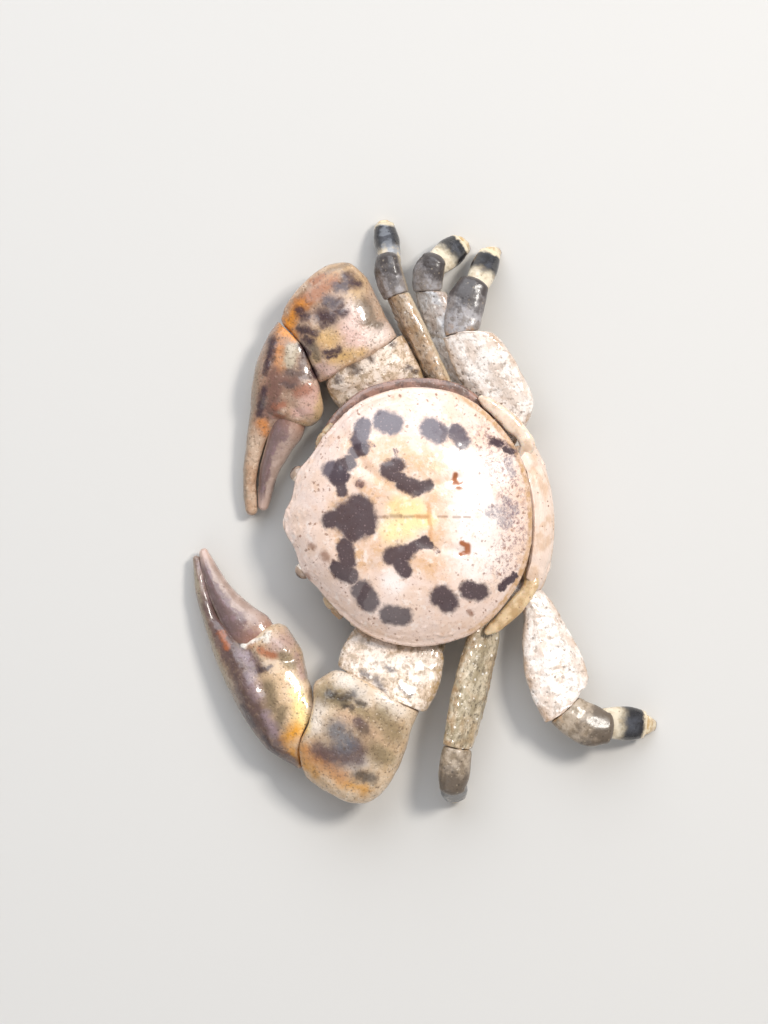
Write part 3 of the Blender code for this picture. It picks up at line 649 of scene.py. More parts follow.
def paint_shield():
    skin = Finish("back shield", CREAM, ragged=0.22)
    exact = vectors(skin.tree, "MULTIPLY", skin.place, (1, 1, 0))
    along, height = add(skin.tree, "SeparateXYZ", {0: skin.place}).outputs[1:3]
    skin.lay(PEACH, skin.mottling(0.5, 0.4, 0.62), 0.4)
    skin.lay(paint(218, 172, 126), skin.dabs(EARTH_DABS, 0.7),
             skin.scaled(skin.mottling(1.7, 0.4, 0.62, 0.7), 0.55, 0.3))
    # White behind the middle: partly the shell's own white, partly a painted highlight of
    # glare.
    skin.lay(paint(255, 246, 240), skin.dabs(WHITE_AND_GLARE_DABS, 0.8), 0.7)
    skin.lay(GLOW, skin.dabs(GLOW_DABS, 0.7), 0.8)
    skin.lay(paint(255, 242, 234), skin.mottling(1.9, 0.54, 0.66), 0.45)
    skin.lay(paint(128, 86, 58), skin.dabs(MEDIAN_MARKS, 0.9, exact), 0.55)
    skin.lay(paint(206, 142, 84), skin.dabs(CROSS_MARKS, 0.8), 0.6)
    outskirts = skin.fade(vectors(skin.tree, "LENGTH", exact), 1.5, 6.5, 0.45, 0.95)
    skin.lay(FRECKLE_BROWN, skin.freckles(3.2, 0.36, 0.65, skin.plan), outskirts, 0.8)
    skin.lay(paint(160, 116, 92), skin.mottling(4.2, 0.55, 0.66, 0.8), outskirts, 0.6)
    skin.lay(paint(214, 166, 126), skin.mottling(1.5, 0.52, 0.68, 0.7), 0.35)
    skin.lay(paint(138, 98, 96), skin.dabs(PEPPER_DABS, 0.8),
             skin.mottling(3.6, 0.5, 0.58, 0.85), 0.7)
    skin.lay(paint(124, 84, 76), skin.freckles(4.4, 0.34, 0.5, skin.plan),
             skin.fade(along, 3.0, 6.5), 0.75)
    skin.lay(paint(190, 146, 92), skin.fade(skin.mark("run"), 0.955, 0.975),
             skin.fade(along, 1.5, 4.0), skin.scaled(skin.mottling(3.0, 0.4, 0.6), 0.5, 0.5),
             0.8)
    skin.lay(FRECKLE_BROWN, skin.dabs(BROWN_DABS, 0.9), 0.75)
    speckled = skin.mottling(5.0, 0.44, 0.56, 0.8)
    skin.lay(paint(98, 70, 70), skin.blobs(FAINT_SPOTS, 0.6, 0.8),
             skin.scaled(speckled, 0.55, 0.3))
    skin.lay(paint(112, 104, 118), skin.blobs(GREY_SPOTS, 0.7, 0.9),
             skin.scaled(speckled, 0.45, 0.2))
    # Pale grains in the plum spots are painted glints on granules.
    grains = skin.times(skin.freckles(6.5, 0.4, 0.5), 0.5)
    # The spots on the crab's right get a slate shade: a painted reflection of the sky over
    # plum.
    for spots, shade in ((SKY_TINTED_SPOTS, paint(86, 76, 86)), (SPOTS, PLUM)):
        spot_with_glints = over(skin.tree, grains, shade, paint(158, 132, 132))
        skin.lay(spot_with_glints, skin.blobs(spots), 0.95)
    skin.lay(RED_BROWN, skin.dabs(RED_MARKS, 0.5, exact), 0.95)
    # Below the margin the shield turns dark brown: partly its own colour, partly painted shade.
    skin.lay(WALL_BROWN_AND_SHADE, skin.fade(height, 3.05, 3.35, 1.0, 0.0))
    return skin.seal(coat=0.85, sleek=0.25, dull=0.4, pores=6.0, pore_depth=0.35, bump=0.03)


SHIELD_FINISH = paint_shield()

# %% [markdown]
# ## Piece: the back shield
# The back shield, or carapace, is one plate, rounder than a coin and domed like a watch
# glass. Its margin is a closed curve from a table of shares. Rings spread from the middle:
# near the middle they are plain ovals, and only near the margin do they take its small lobes,
# or the lobes would run inwards as spokes. The dome's height depends on the ring alone. After
# that come the narrow rim, shallow grooves and a faint unevenness.

# %% Shape the back shield
MARGIN_SHARES = [(0.0, 0.0), (0.10, 0.014), (0.20, 0.041), (0.385, 0.069), (0.51, 0.124),
                 (0.675, 0.192), (0.815, 0.265), (0.92, 0.347), (0.985, 0.457), (1.0, 0.56),
                 (0.973, 0.656), (0.905, 0.753), (0.755, 0.849), (0.53, 0.938), (0.29, 0.985),
                 (0.0, 1.0)]
SHIELD_TOP, RIM_SIDE, RIM_FRONT = 6.3, 3.85, 3.45
SHIELD_MIDDLE = np.array((0.0, -0.2))
# Below the margin the shell turns under: a share of the margin, and how far below its rim.
RIM_TURN = ((1.004, 0.1), (0.998, 0.22), (0.975, 0.33), (0.935, 0.42), (0.905, 0.55),
            (0.89, 0.72), (0.875, 0.95), (0.865, 1.2))
SHIELD_UNDERSIDE = ((0.8, 2.5), (0.6, 2.45), (0.3, 2.45), (0.02, 2.45))   # share, height


def margin(count):
    """The margin in plan, closed, from the tip of the front round the left side."""
    half = [(across * SHIELD_WIDTH / 2, SHIELD_FRONT + back * SHIELD_LENGTH)
            for across, back in MARGIN_SHARES]
    rows = half + [(-x, y) for x, y in reversed(half[1:-1])]
    return through(rows, np.arange(count) * len(rows) / count, closed=True)


def rim_height(y):
    return RIM_SIDE + (RIM_FRONT - RIM_SIDE) * np.clip((-y - 3.5) / 4.0, 0, 1)


def dome(x, y, reach):
    """Height of the back, where reach is 0 in the middle and 1 at the margin."""
    rim = rim_height(y)
    swell_up = (SHIELD_TOP - rim) * np.maximum(1 - reach ** 2.4, 0) ** 0.85
    cheeks = 0.12 * np.sin(math.pi * np.minimum(reach, 1)) * np.cos(2 * np.arctan2(x, y))
    return rim + swell_up - cheeks


def shape_shield(around=420, rings=170):
    outline = margin(around)
    angle = np.arctan2(outline[:, 1] - SHIELD_MIDDLE[1], outline[:, 0])
    oval = SHIELD_MIDDLE + np.column_stack((np.cos(angle) * SHIELD_WIDTH,
                                            np.sin(angle) * SHIELD_LENGTH)) / 2
    reach = np.sin(np.linspace(0.004, 1, rings) * math.pi / 2)[:, None, None]
    plan = oval + (outline - oval) * reach ** 3
    plan = SHIELD_MIDDLE + (plan - SHIELD_MIDDLE) * reach
    x, y, flat = plan[..., 0], plan[..., 1], reach[..., 0] * np.ones((1, around))
    top = np.dstack((x, y, dome(x, y, flat)))
    edge = rim_height(outline[:, 1])
    under = [(share, edge - drop) for share, drop in RIM_TURN]
    under += [(share, np.full(around, level)) for share, level in SHIELD_UNDERSIDE]
    points = np.concatenate((top, [
        np.column_stack((SHIELD_MIDDLE + (outline - SHIELD_MIDDLE) * share, level))
        for share, level in under]))
    reach_all = np.concatenate((flat, np.full((len(under), around), 1.0)))
    upper = np.concatenate((np.ones_like(flat), np.full((len(under), around), -1.0)))
    return {"points": points, "reach": reach_all, "upper": upper}


def strokes(points, rows):
    """Heights of strokes: start x and y, end x and y, width and height in each row."""
    return sum(height * stroke(points, (x1, y1), (x2, y2), width)
               for x1, y1, x2, y2, width, height in rows)


# Swellings and grooves: those of the left side are repeated on the right.
SIDE_RELIEF = [
    (1.5, -5.4, 2.6, -4.6, 0.9, 0.10), (1.3, -0.4, 2.9, -2.6, 0.28, -0.07),
    (2.9, -2.6, 5.4, -3.9, 0.3, -0.06), (1.5, 0.4, 2.1, 2.6, 0.3, -0.05),
    (2.1, 2.6, 1.9, 5.2, 0.35, -0.05), (2.15, 2.75, 2.15, 2.85, 0.16, -0.10),
    (4.2, 0.5, 4.6, 3.2, 1.3, 0.06)]
MIDDLE_RELIEF = [(0, -7.4, 0, -5.6, 0.4, -0.09), (0, 1.0, 0, 3.2, 0.9, 0.05)]


def groove_shield(shape):
    """The shallow relief of the back: rim, grooves, lobes and unevenness."""
    points, reach = shape["points"], shape["reach"]
    x, y = points[..., 0], points[..., 1]
    lift = 0.03 * np.exp(-((reach - 0.99) / 0.009) ** 2)
    lift -= 0.02 * np.exp(-((reach - 0.962) / 0.012) ** 2) * np.clip((y + 6.5) / 2, 0, 1)
    lift += strokes(points, SIDE_RELIEF) + strokes(points * (-1, 1, 1), SIDE_RELIEF)
    lift += strokes(points, MIDDLE_RELIEF)
    lift += 0.035 * waves(points, 0.7) + 0.012 * waves(points, 2.3, 5.0)
    rough = np.clip((y - 2.5) / 3.5, 0, 1) + 0.4 * np.clip((np.abs(x) - 4.5) / 2.5, 0, 1)
    lift += 0.014 * rough * waves(points, 5.0, 9.0)
    grains = np.clip(waves(points, 3.4, 21.0) - 0.18, 0, 1)
    lift += 0.09 * grains * np.clip((reach - 0.72) / 0.25, 0, 1)
    return np.where(shape["upper"] > 0, lift, 0.0)


shield = shape_shield()
lift = groove_shield(shield)
facing = outward(shield)
facing = np.where((facing * np.sign(shield["upper"])[..., None])[..., 2:3] < 0, -facing, facing)
shield["points"] += facing * lift[..., None]
for label in ("along", "run", "across"):
    shield[label] = shield["reach"]
shield["points"][..., 2] = np.minimum(shield["points"][..., 2], SHIELD_TOP + 0.02)
back = finish_body("back_shield", shield, SHIELD_FINISH, "back_shell", ["carapace"])
print("back shield", len(back.data.polygons), "faces")

# %% [markdown]
# ## Piece: the side wall
# Below its margin a porcelain crab's shield turns under into a wet, dark side wall. On the
# crab's right it can be seen from above as a brown band, between the margin and the roots of
# the limbs. Its dark brown is partly the wall's own colour and partly painted shade of the gap
# under the margin. On its left it stays below the margin. It is one flat band that follows the
# margin, so its sections are read off the margin's own curve.

# %% Shape the side wall
WALL_HEIGHT, WALL_THICKNESS = 2.98, 0.34
WALL_OVERLAP = 0.9               # mm that the band reaches in under the shield
# How far the band passes the margin, at places from the front to the back.
WALL_REACH = {
    -1: ((-5.2, 0.1), (-4.2, 0.45), (-2.5, 0.6), (-0.5, 0.6), (1.5, 0.62), (3.0, 0.6),
         (4.4, 0.4), (5.2, 0.1)),
    1: ((-5.2, -0.2), (-4.2, -0.1), (-2.5, 0.0), (-0.5, 0.05), (1.5, 0.0), (3.0, -0.05),
        (4.4, -0.1), (5.2, -0.2))}


def wall_rows(side):
    """Sections of the band: y on the crab, and how far it passes the margin."""
    outline = margin(240)
    outline = outline[outline[:, 0] * side > 0]
    rows = []
    for y, reach in WALL_REACH[side]:
        rim = outline[np.argmin(np.abs(outline[:, 1] - y))]
        outwards = unit(rim - SHIELD_MIDDLE)
        near, far = rim - outwards * WALL_OVERLAP, rim + outwards * reach
        centre, half = (near + far) / 2, (far - near) / 2
        rows.append([*centre, WALL_HEIGHT, *half, 0.0, WALL_THICKNESS / 2, WALL_THICKNESS / 2])
    return rows


def paint_wall():
    # The wall's dark browns are partly its own colour and partly painted shade under the
    # margin.
    skin = Finish("side wall", paint(152, 114, 98))
    skin.lay(paint(108, 82, 70), skin.mottling(1.4, 0.4, 0.62))
    skin.lay(paint(74, 50, 46), skin.mottling(2.6, 0.54, 0.64), 0.6)
    return skin.seal(coat=0.8, sleek=0.2, dull=0.4, pores=4.0, bump=0.06)


WALL_FINISH = paint_wall()
for side, word in ((-1, "right"), (1, "left")):
    band = body(wall_rows(side), rings=160, around=40, cap=0.3)
    swell(band, 0.03 * waves(band["points"], 1.6, 12.0))
    finish_body(f"side_wall_{word}", band, WALL_FINISH, "under_shell")

# %% [markdown]
# ## Sections of plates and of limbs
# A claw piece is a broad plate, so each row of its table gives two edge points seen from
# above, and then its height, rise and drop. A walking leg follows a middle line instead, with
# a breadth, a thickness and a roll: rolled by 0 degrees it lies flat, by 90 on its edge.


# %% Rows for plates and limbs
def plate(rows):
    """Cross-sections from rows: near x and y, far x and y, height, rise and drop."""
    made = []
    for near_x, near_y, far_x, far_y, level, up, down in rows:
        near, far = np.array((near_x, near_y, level)), np.array((far_x, far_y, level))
        made.append([*((near + far) / 2), *((far - near) / 2), up, down])
    return made


def limb(line, breadths, thicknesses, roll=0.0):
    """Cross-sections along a limb's middle line."""
    line = np.array(line, dtype=float)
    made = []
    for index, centre in enumerate(line):
        ahead = unit(line[min(index + 1, len(line) - 1)] - line[max(index - 1, 0)])
        across = unit(np.cross(ahead, (0.0, 0.0, 1.0)))
        lifted = np.cross(across, ahead)
        turn = math.radians(roll)
        half = (across * math.cos(turn) + lifted * math.sin(turn)) * breadths[index] / 2
        made.append([*centre, *half, thicknesses[index] / 2, thicknesses[index] / 2])
    return made


# %% [markdown]
# ## Finish: the claws
# The claws carry most of the colour: orange along the outer edge of the wrist, plum blotches,
# olive speckles, cream and rose between them, and a tan rim. Each paint is a list of dabs, and
# they are laid one over another as they would be airbrushed on a cast. A paint with a crisp
# rim is first misted over a wider place, so that it seems to lie in the shell. The underside
# is paler and plainer.

# %% Paint the claws
CRISP = 0.45                     # paints with a rim softer than this get no mist
HALO, MIST = 1.7, 0.35           # how much wider than its paint a mist is, and how strong
SPRAY = 1.5                      # how much softer a rim is sprayed than the table says
CLAW_GROUNDS = {"right": (paint(182, 146, 118), paint(196, 168, 144)),
                "left": (paint(204, 172, 136), paint(214, 188, 158))}
CLAW_PAINTS = {              # a colour, its strength, how soft its rim is, and its dabs
    "right": [
        (paint(136, 102, 84), 0.9, 0.6, [(-10.9, -7.1, -6.6, -8.1, 1.15)]),
        (paint(176, 146, 124), 0.6, 0.7, [(-13.3, -2.8, -12.2, -5.0, 0.9)]),
        (paint(204, 168, 122), 0.75, 0.6, [
            (-14.73, -3.11, -14.2, -4.04, 0.54), (-14.1, -2.47, -13.32, -2.64, 0.54)]),
        (paint(238, 218, 208), 0.75, 0.6, [
            (-10.64, -2.16, -10.83, -1.19, 0.6), (-12.2, -3.0, -11.2, -2.9, 0.45)]),
        (ROSE, 0.8, 0.6, [
            (-10.93, -3.3, -10.54, -2.77, 0.6), (-8.81, -4.31, -9.08, -4.9, 0.36),
            (-11.9, -3.0, -11.6, -2.7, 0.4)]),
        (paint(204, 162, 98), 0.8, 0.7, [
            (-10.77, -4.82, -10.61, -4.1, 0.48), (-9.52, -4.15, -9.6, -3.18, 0.41),
            (-9.69, -2.69, -9.8, -2.45, 0.27), (-9.57, -5.12, -9.7, -5.23, 0.27)]),
        (paint(148, 124, 100), 0.8, 0.4, [
            (-15.06, -3.1, -14.38, -4.64, 0.14), (-14.38, -4.64, -12.95, -6.28, 0.12),
            (-9.43, -8.66, -7.81, -8.9, 0.15), (-7.81, -8.9, -6.2, -9.3, 0.15),
            (-6.2, -9.3, -3.93, -9.74, 0.15), (-3.93, -9.74, -1.11, -9.85, 0.13)]),
        (paint(156, 92, 44), 0.9, 0.5, [
            (-14.05, -3.93, -13.37, -4.93, 0.42), (-13.37, -4.93, -12.75, -5.93, 0.46),
            (-14.05, -5.14, -14.26, -4.53, 0.26)]),
        (paint(224, 140, 30), 0.95, 0.6, [
            (-12.63, -5.94, -11.82, -6.64, 0.33), (-11.82, -6.64, -11.23, -6.91, 0.41),
            (-11.23, -6.91, -10.91, -6.44, 0.29)]),
        (paint(206, 128, 58), 0.8, 0.6, [
            (-10.4, -7.32, -9.19, -7.25, 0.34), (-5.94, -8.55, -5.5, -8.36, 0.28)]),
        (paint(204, 162, 150), 0.85, 0.6, [
            (-7.22, -5.72, -7.42, -5.38, 0.65), (-6.49, -6.4, -6.57, -5.75, 0.33)]),
        (paint(216, 184, 134), 0.7, 0.6, [
            (-7.4, -4.94, -6.11, -5.23, 0.22), (-5.59, -5.8, -5.62, -6.34, 0.22)]),
        (paint(196, 180, 156), 0.9, 0.3, [
            (-10.09, -6.56, -9.45, -6.75, 0.37), (-10.4, -6.27, -10.08, -6.23, 0.17)]),
        (paint(106, 92, 76), 0.75, 0.4, [
            (-12.57, -2.19, -11.84, -1.98, 0.4), (-11.6, -2.12, -11.32, -1.41, 0.25),
            (-10.31, -5.32, -9.69, -5.11, 0.24)]),
        (paint(112, 76, 66), 0.8, 0.5, [
            (-8.84, -7.65, -6.46, -8.04, 0.37), (-8.39, -7.29, -8.23, -6.43, 0.37),
            (-7.96, -7.53, -7.21, -7.78, 0.3)]),
        (paint(152, 90, 64), 0.75, 0.5, [
            (-6.77, -7.75, -6.97, -7.25, 0.2), (-7.58, -6.35, -7.87, -5.68, 0.3),
            (-6.34, -7.72, -6.15, -7.29, 0.17)]),
        (paint(96, 76, 72), 0.8, 0.4, [
            (-8.85, -6.83, -8.58, -5.65, 0.22), (-8.16, -7.09, -8.03, -6.66, 0.17),
            (-10.05, -5.79, -9.08, -5.95, 0.24)]),
        (paint(62, 40, 46), 0.96, 0.5, [
            (-13.67, -3.71, -13.71, -3.16, 0.34), (-14.19, -3.14, -13.93, -2.85, 0.41),
            (-13.87, -2.73, -13.74, -2.5, 0.27), (-12.03, -4.7, -11.94, -4.16, 0.48),
            (-12.8, -4.36, -12.59, -3.7, 0.39), (-12.28, -3.72, -12.15, -3.42, 0.34),
            (-11.48, -4.66, -11.7, -4.17, 0.27), (-12.4, -6.01, -12.02, -5.66, 0.33),
            (-11.31, -6, -11.02, -5.11, 0.27), (-10.69, -5.73, -10.55, -5.43, 0.22),
            (-10.34, -6.05, -9.84, -5.71, 0.21), (-9.79, -4.62, -9.93, -3.77, 0.18),
            (-9.54, -4.46, -9.64, -4.03, 0.14), (-8.86, -5.46, -8.49, -5.23, 0.24),
            (-10.69, -7.67, -9.83, -7.87, 0.28), (-9.62, -7.99, -8.76, -8.2, 0.15),
            (-7.89, -8.3, -6.49, -8.64, 0.24)]),
    ],
    "left": [
        (paint(224, 188, 148), 0.75, 0.7, [
            (9.54, -8.72, 11.23, -7.98, 1.2), (8.88, -8.85, 8.59, -8.01, 0.7)]),
        (paint(122, 100, 94), 0.9, 0.5, [
            (1.4, -12.6, 4.24, -12.5, 0.6), (4.24, -12.5, 5.91, -11.9, 0.7),
            (5.91, -11.9, 7.3, -11.2, 0.6)]),
        (paint(228, 186, 152), 0.65, 0.7, [
            (13.1, -3.45, 12.49, -2.43, 0.7), (11.4, -4.36, 11.8, -3.06, 0.6)]),
        (paint(240, 226, 212), 0.75, 0.6, [
            (9.08, -4.57, 10.47, -3.32, 0.49), (10.35, -2.33, 11.22, -1.38, 0.49),
            (10.67, -5.97, 11.97, -6.2, 0.4), (14.3, -4.2, 14.1, -3.6, 0.4)]),
        (paint(148, 130, 90), 0.7, 0.6, [
            (9.86, -5.6, 10.4, -4.64, 0.45), (11.5, -2.38, 12.52, -1.77, 0.56),
            (13.46, -2.81, 13.99, -2.18, 0.5), (11.11, -3.68, 11.47, -3.04, 0.4)]),
        (paint(168, 154, 130), 0.7, 0.4, [
            (2.56, -12.98, 5.66, -12.44, 0.12), (5.66, -12.44, 8.78, -11.53, 0.12),
            (8.78, -11.53, 11.92, -10.27, 0.12), (11.92, -10.27, 13.77, -8.7, 0.12)]),
        (paint(176, 144, 138), 0.8, 0.6, [
            (7.09, -8.27, 6.95, -7.77, 0.66), (7.8, -7.15, 8.97, -6.88, 0.23)]),
        (paint(252, 222, 142), 0.85, 0.7, [
            (10.61, -7.12, 11.9, -7.05, 0.36), (9.94, -7.34, 10.45, -6.95, 0.3)]),
        (paint(230, 156, 26), 0.96, 0.7, [
            (12.14, -7.43, 12.87, -8.22, 0.42), (12.87, -8.22, 13.89, -7.45, 0.38),
            (13.89, -7.45, 14.32, -7.06, 0.22)]),
        (paint(202, 144, 62), 0.85, 0.6, [
            (13.26, -7.01, 14.14, -5.81, 0.33), (14.3, -5.82, 15.17, -4.87, 0.36),
            (15.34, -4.88, 15.73, -3.58, 0.34), (13.93, -6.79, 14.77, -6.34, 0.26)]),
        (paint(108, 94, 64), 0.65, 0.4, [
            (9.53, -8.89, 10.86, -8.79, 0.38), (7.76, -7.97, 8.28, -7.51, 0.34),
            (10.89, -8.13, 11.86, -8.51, 0.28), (10.24, -5.5, 10.6, -4.4, 0.3)]),
        (paint(90, 66, 62), 0.95, 0.4, [
            (4.59, -12.11, 5.94, -11.52, 0.49), (5.94, -11.52, 7.62, -10.91, 0.56),
            (7.62, -10.91, 9.29, -10.36, 0.66), (9.54, -10.34, 11.39, -9.61, 0.72),
            (11.39, -9.61, 13.2, -8.7, 0.69), (13.2, -8.7, 14.17, -7.71, 0.4),
            (7.65, -10.2, 8.34, -9.65, 0.49)]),
        (paint(150, 128, 134), 0.7, 0.7, [
            (7.48, -10.35, 7.99, -9.93, 0.3), (8.82, -9.91, 9.99, -9.54, 0.33),
            (11.17, -9.13, 12.18, -8.65, 0.26), (2.26, -12.49, 4.27, -11.99, 0.23)]),
        (paint(58, 40, 44), 0.8, 0.4, [
            (5.98, -10.69, 7.15, -10.34, 0.14), (8.52, -9.33, 8.39, -8.67, 0.14),
            (10.61, -10.51, 11.79, -9.99, 0.16), (12.48, -9.36, 13.51, -8.59, 0.13)]),
        (paint(166, 94, 54), 0.85, 0.5, [
            (6.26, -10.13, 6.77, -9.82, 0.33), (7.37, -9.28, 7.74, -8.47, 0.24),
            (6.27, -11.53, 7.11, -11.24, 0.2)]),
        # White lines in a V at the hinge of the left claw: painted glints.
        (paint(236, 228, 216), 0.8, 0.5, [
            (7.07, -10.3, 6.93, -9.91, 0.11), (6.93, -9.91, 6.56, -8.99, 0.12),
            (6.32, -8.73, 6.89, -8.92, 0.13)]),
        (paint(196, 132, 78), 0.7, 0.7, [(13.34, -6.77, 14.84, -4.86, 0.49)]),
        (paint(78, 56, 60), 0.85, 0.42, [
            (13.33, -6.11, 13.62, -5.46, 0.49), (13.62, -5.46, 13.86, -3.99, 0.59),
            (13.15, -4.02, 13.49, -3.77, 0.46), (11.76, -3.72, 12.27, -3.38, 0.3)]),
        (paint(98, 100, 108), 0.85, 0.5, [(12.19, -4.98, 12.84, -4.56, 0.72)]),
        (paint(116, 96, 68), 0.5, 0.6, [
            (10.04, -5.28, 10.31, -3.81, 0.66), (11.49, -2.55, 12.52, -1.78, 0.66),
            (12.44, -3.42, 13.96, -2.51, 0.49), (10.16, -6.12, 10.51, -5.64, 0.4)]),
        (paint(52, 42, 36), 0.8, 0.5, [
            (10, -5.35, 10.15, -5.03, 0.21), (10.36, -4.64, 10.13, -3.97, 0.25),
            (10.57, -3.79, 10.82, -3.34, 0.18), (10.8, -4.43, 10.96, -4.01, 0.16),
            (14.92, -3.87, 15.16, -3.09, 0.33)]),
    ],
}


def paint_claw(side):
    ground, clouds = CLAW_GROUNDS[side]
    skin = Finish(f"claw {side}", ground)
    skin.lay(clouds, skin.mottling(0.8, 0.42, 0.6))
    skin.lay(paint(236, 216, 192), skin.mottling(2.9, 0.55, 0.67, 0.7, skin.plan), 0.55)
    skin.lay(paint(244, 230, 208), skin.freckles(2.9, 0.3, 0.4), 0.5)
    broken = skin.scaled(skin.mottling(2.4, 0.34, 0.52, 0.75), 0.26, 0.74)
    for shade, strength, softness, rows in CLAW_PAINTS[side]:
        if softness < CRISP:
            skin.lay(shade, skin.dabs(rows, 0.9, spread=HALO), strength * MIST)
        skin.lay(shade, skin.dabs(rows, softness * SPRAY), strength, broken)
    skin.lay(paint(92, 70, 50), skin.mottling(4.6, 0.52, 0.64, 0.8), 0.6)
    skin.lay(paint(80, 60, 46), skin.freckles(4.4, 0.36, 0.5), 0.6)
    skin.underneath(paint(222, 200, 172))
    return skin.seal(coat=0.65, sleek=0.26, dull=0.48, pores=3.8, pore_depth=0.65, bump=0.08)


CLAW_FINISH = {side: paint_claw(side) for side in ("right", "left")}

# %% [markdown]
# The moving finger has one dark purple stripe along its outer half, next to the slit between
# the two fingers, and a pale rosy inner half. The mark "across" runs from the outer edge (-1)
# to the inner edge (1), so one eased step in it makes the stripe.

# %% Paint the moving fingers
def paint_finger():
    skin = Finish("finger", paint(182, 158, 146))
    across, run = skin.mark("across"), skin.mark("run")
    wander = skin.scaled(skin.mottling(1.6, 0.3, 0.7), 0.5, -0.1)
    stripe = skin.fade(skin.maths("SUBTRACT", across, wander), -0.25, 0.15, 1.0, 0.0)
    skin.lay(paint(162, 138, 126), skin.mottling(1.4, 0.4, 0.6))
    skin.lay(paint(104, 80, 78), stripe, 0.85)
    skin.lay(paint(140, 112, 118), stripe, skin.mottling(3.2, 0.5, 0.6, 0.7), 0.5)
    skin.lay(paint(206, 184, 166), skin.fade(across, -0.98, -0.8, 0.8, 0.0))
    skin.lay(paint(160, 108, 78), skin.fade(run, 0.05, 0.3, 0.6, 0.0))
    skin.lay(paint(196, 166, 152), skin.fade(run, 0.8, 0.97))
    skin.lay(paint(92, 68, 66), skin.freckles(4.0, 0.3, 0.35), 0.5)
    skin.underneath(paint(206, 184, 160))
    return skin.seal(coat=0.7, sleek=0.22, dull=0.42, pores=4.5, pore_depth=0.5, bump=0.05)


FINGER_FINISH = paint_finger()

# %% [markdown]
# The arms are bone white, marbled with grey brown, and have a few nearly black marks and a
# warm edge. Marbling is two sizes of mottling, one laid over the other.

# %% Paint the claw arms
ARM_MARKS = [
    (-8.97, -3.12, -8.74, -2.84, 0.29), (-9.52, -2.12, -9.27, -1.87, 0.19),
    (-10.46, -1.11, -10.2, -0.69, 0.22), (-8.81, 0.14, -8.55, 0.54, 0.17),
    (-8.31, -3.97, -8.15, -3.74, 0.17),
    (9.43, -2.55, 9.99, -2.28, 0.26), (8.95, -3.32, 9.2, -2.9, 0.2),
    (9.91, -1.09, 10.3, -0.65, 0.18), (8.72, -1.89, 8.9, -1.6, 0.15)]


def paint_arm():
    skin = Finish("claw arm", paint(238, 220, 204), ragged=0.4)
    skin.lay(paint(216, 190, 164), skin.mottling(1.1, 0.42, 0.6))
    skin.lay(paint(146, 122, 94), skin.mottling(2.2, 0.48, 0.6, 0.8), 0.65)
    skin.lay(paint(120, 94, 72), skin.mottling(4.6, 0.53, 0.66, 0.8), 0.5)
    skin.lay(paint(66, 48, 44), skin.dabs(ARM_MARKS, 0.9), 0.8)
    skin.lay(paint(112, 88, 64), skin.freckles(3.2, 0.36, 0.45), 0.7)
    skin.lay(paint(248, 240, 226), skin.freckles(2.1, 0.3, 0.4), 0.6)
    skin.lay(paint(168, 134, 84), skin.edge(0.76, 0.96),
             skin.mottling(1.7, 0.44, 0.58, 0.75), 0.8)
    skin.underneath(paint(226, 206, 180))
    return skin.seal(coat=0.7, sleek=0.22, dull=0.45, pores=3.6, pore_depth=0.7, bump=0.1)


ARM_FINISH = paint_arm()

# %% [markdown]
# ## Pieces: the claws
# A porcelain crab's claw limb has four pieces that show: the arm, the broad wrist, the hand
# that ends in a fixed finger, and the moving finger. The tables repeat the solid model's own
# sections. The relief after them is what the solids leave out: the ridge along the outer
# edge, the swollen heel of the hand beside the hinge, and grooves along the fingers.

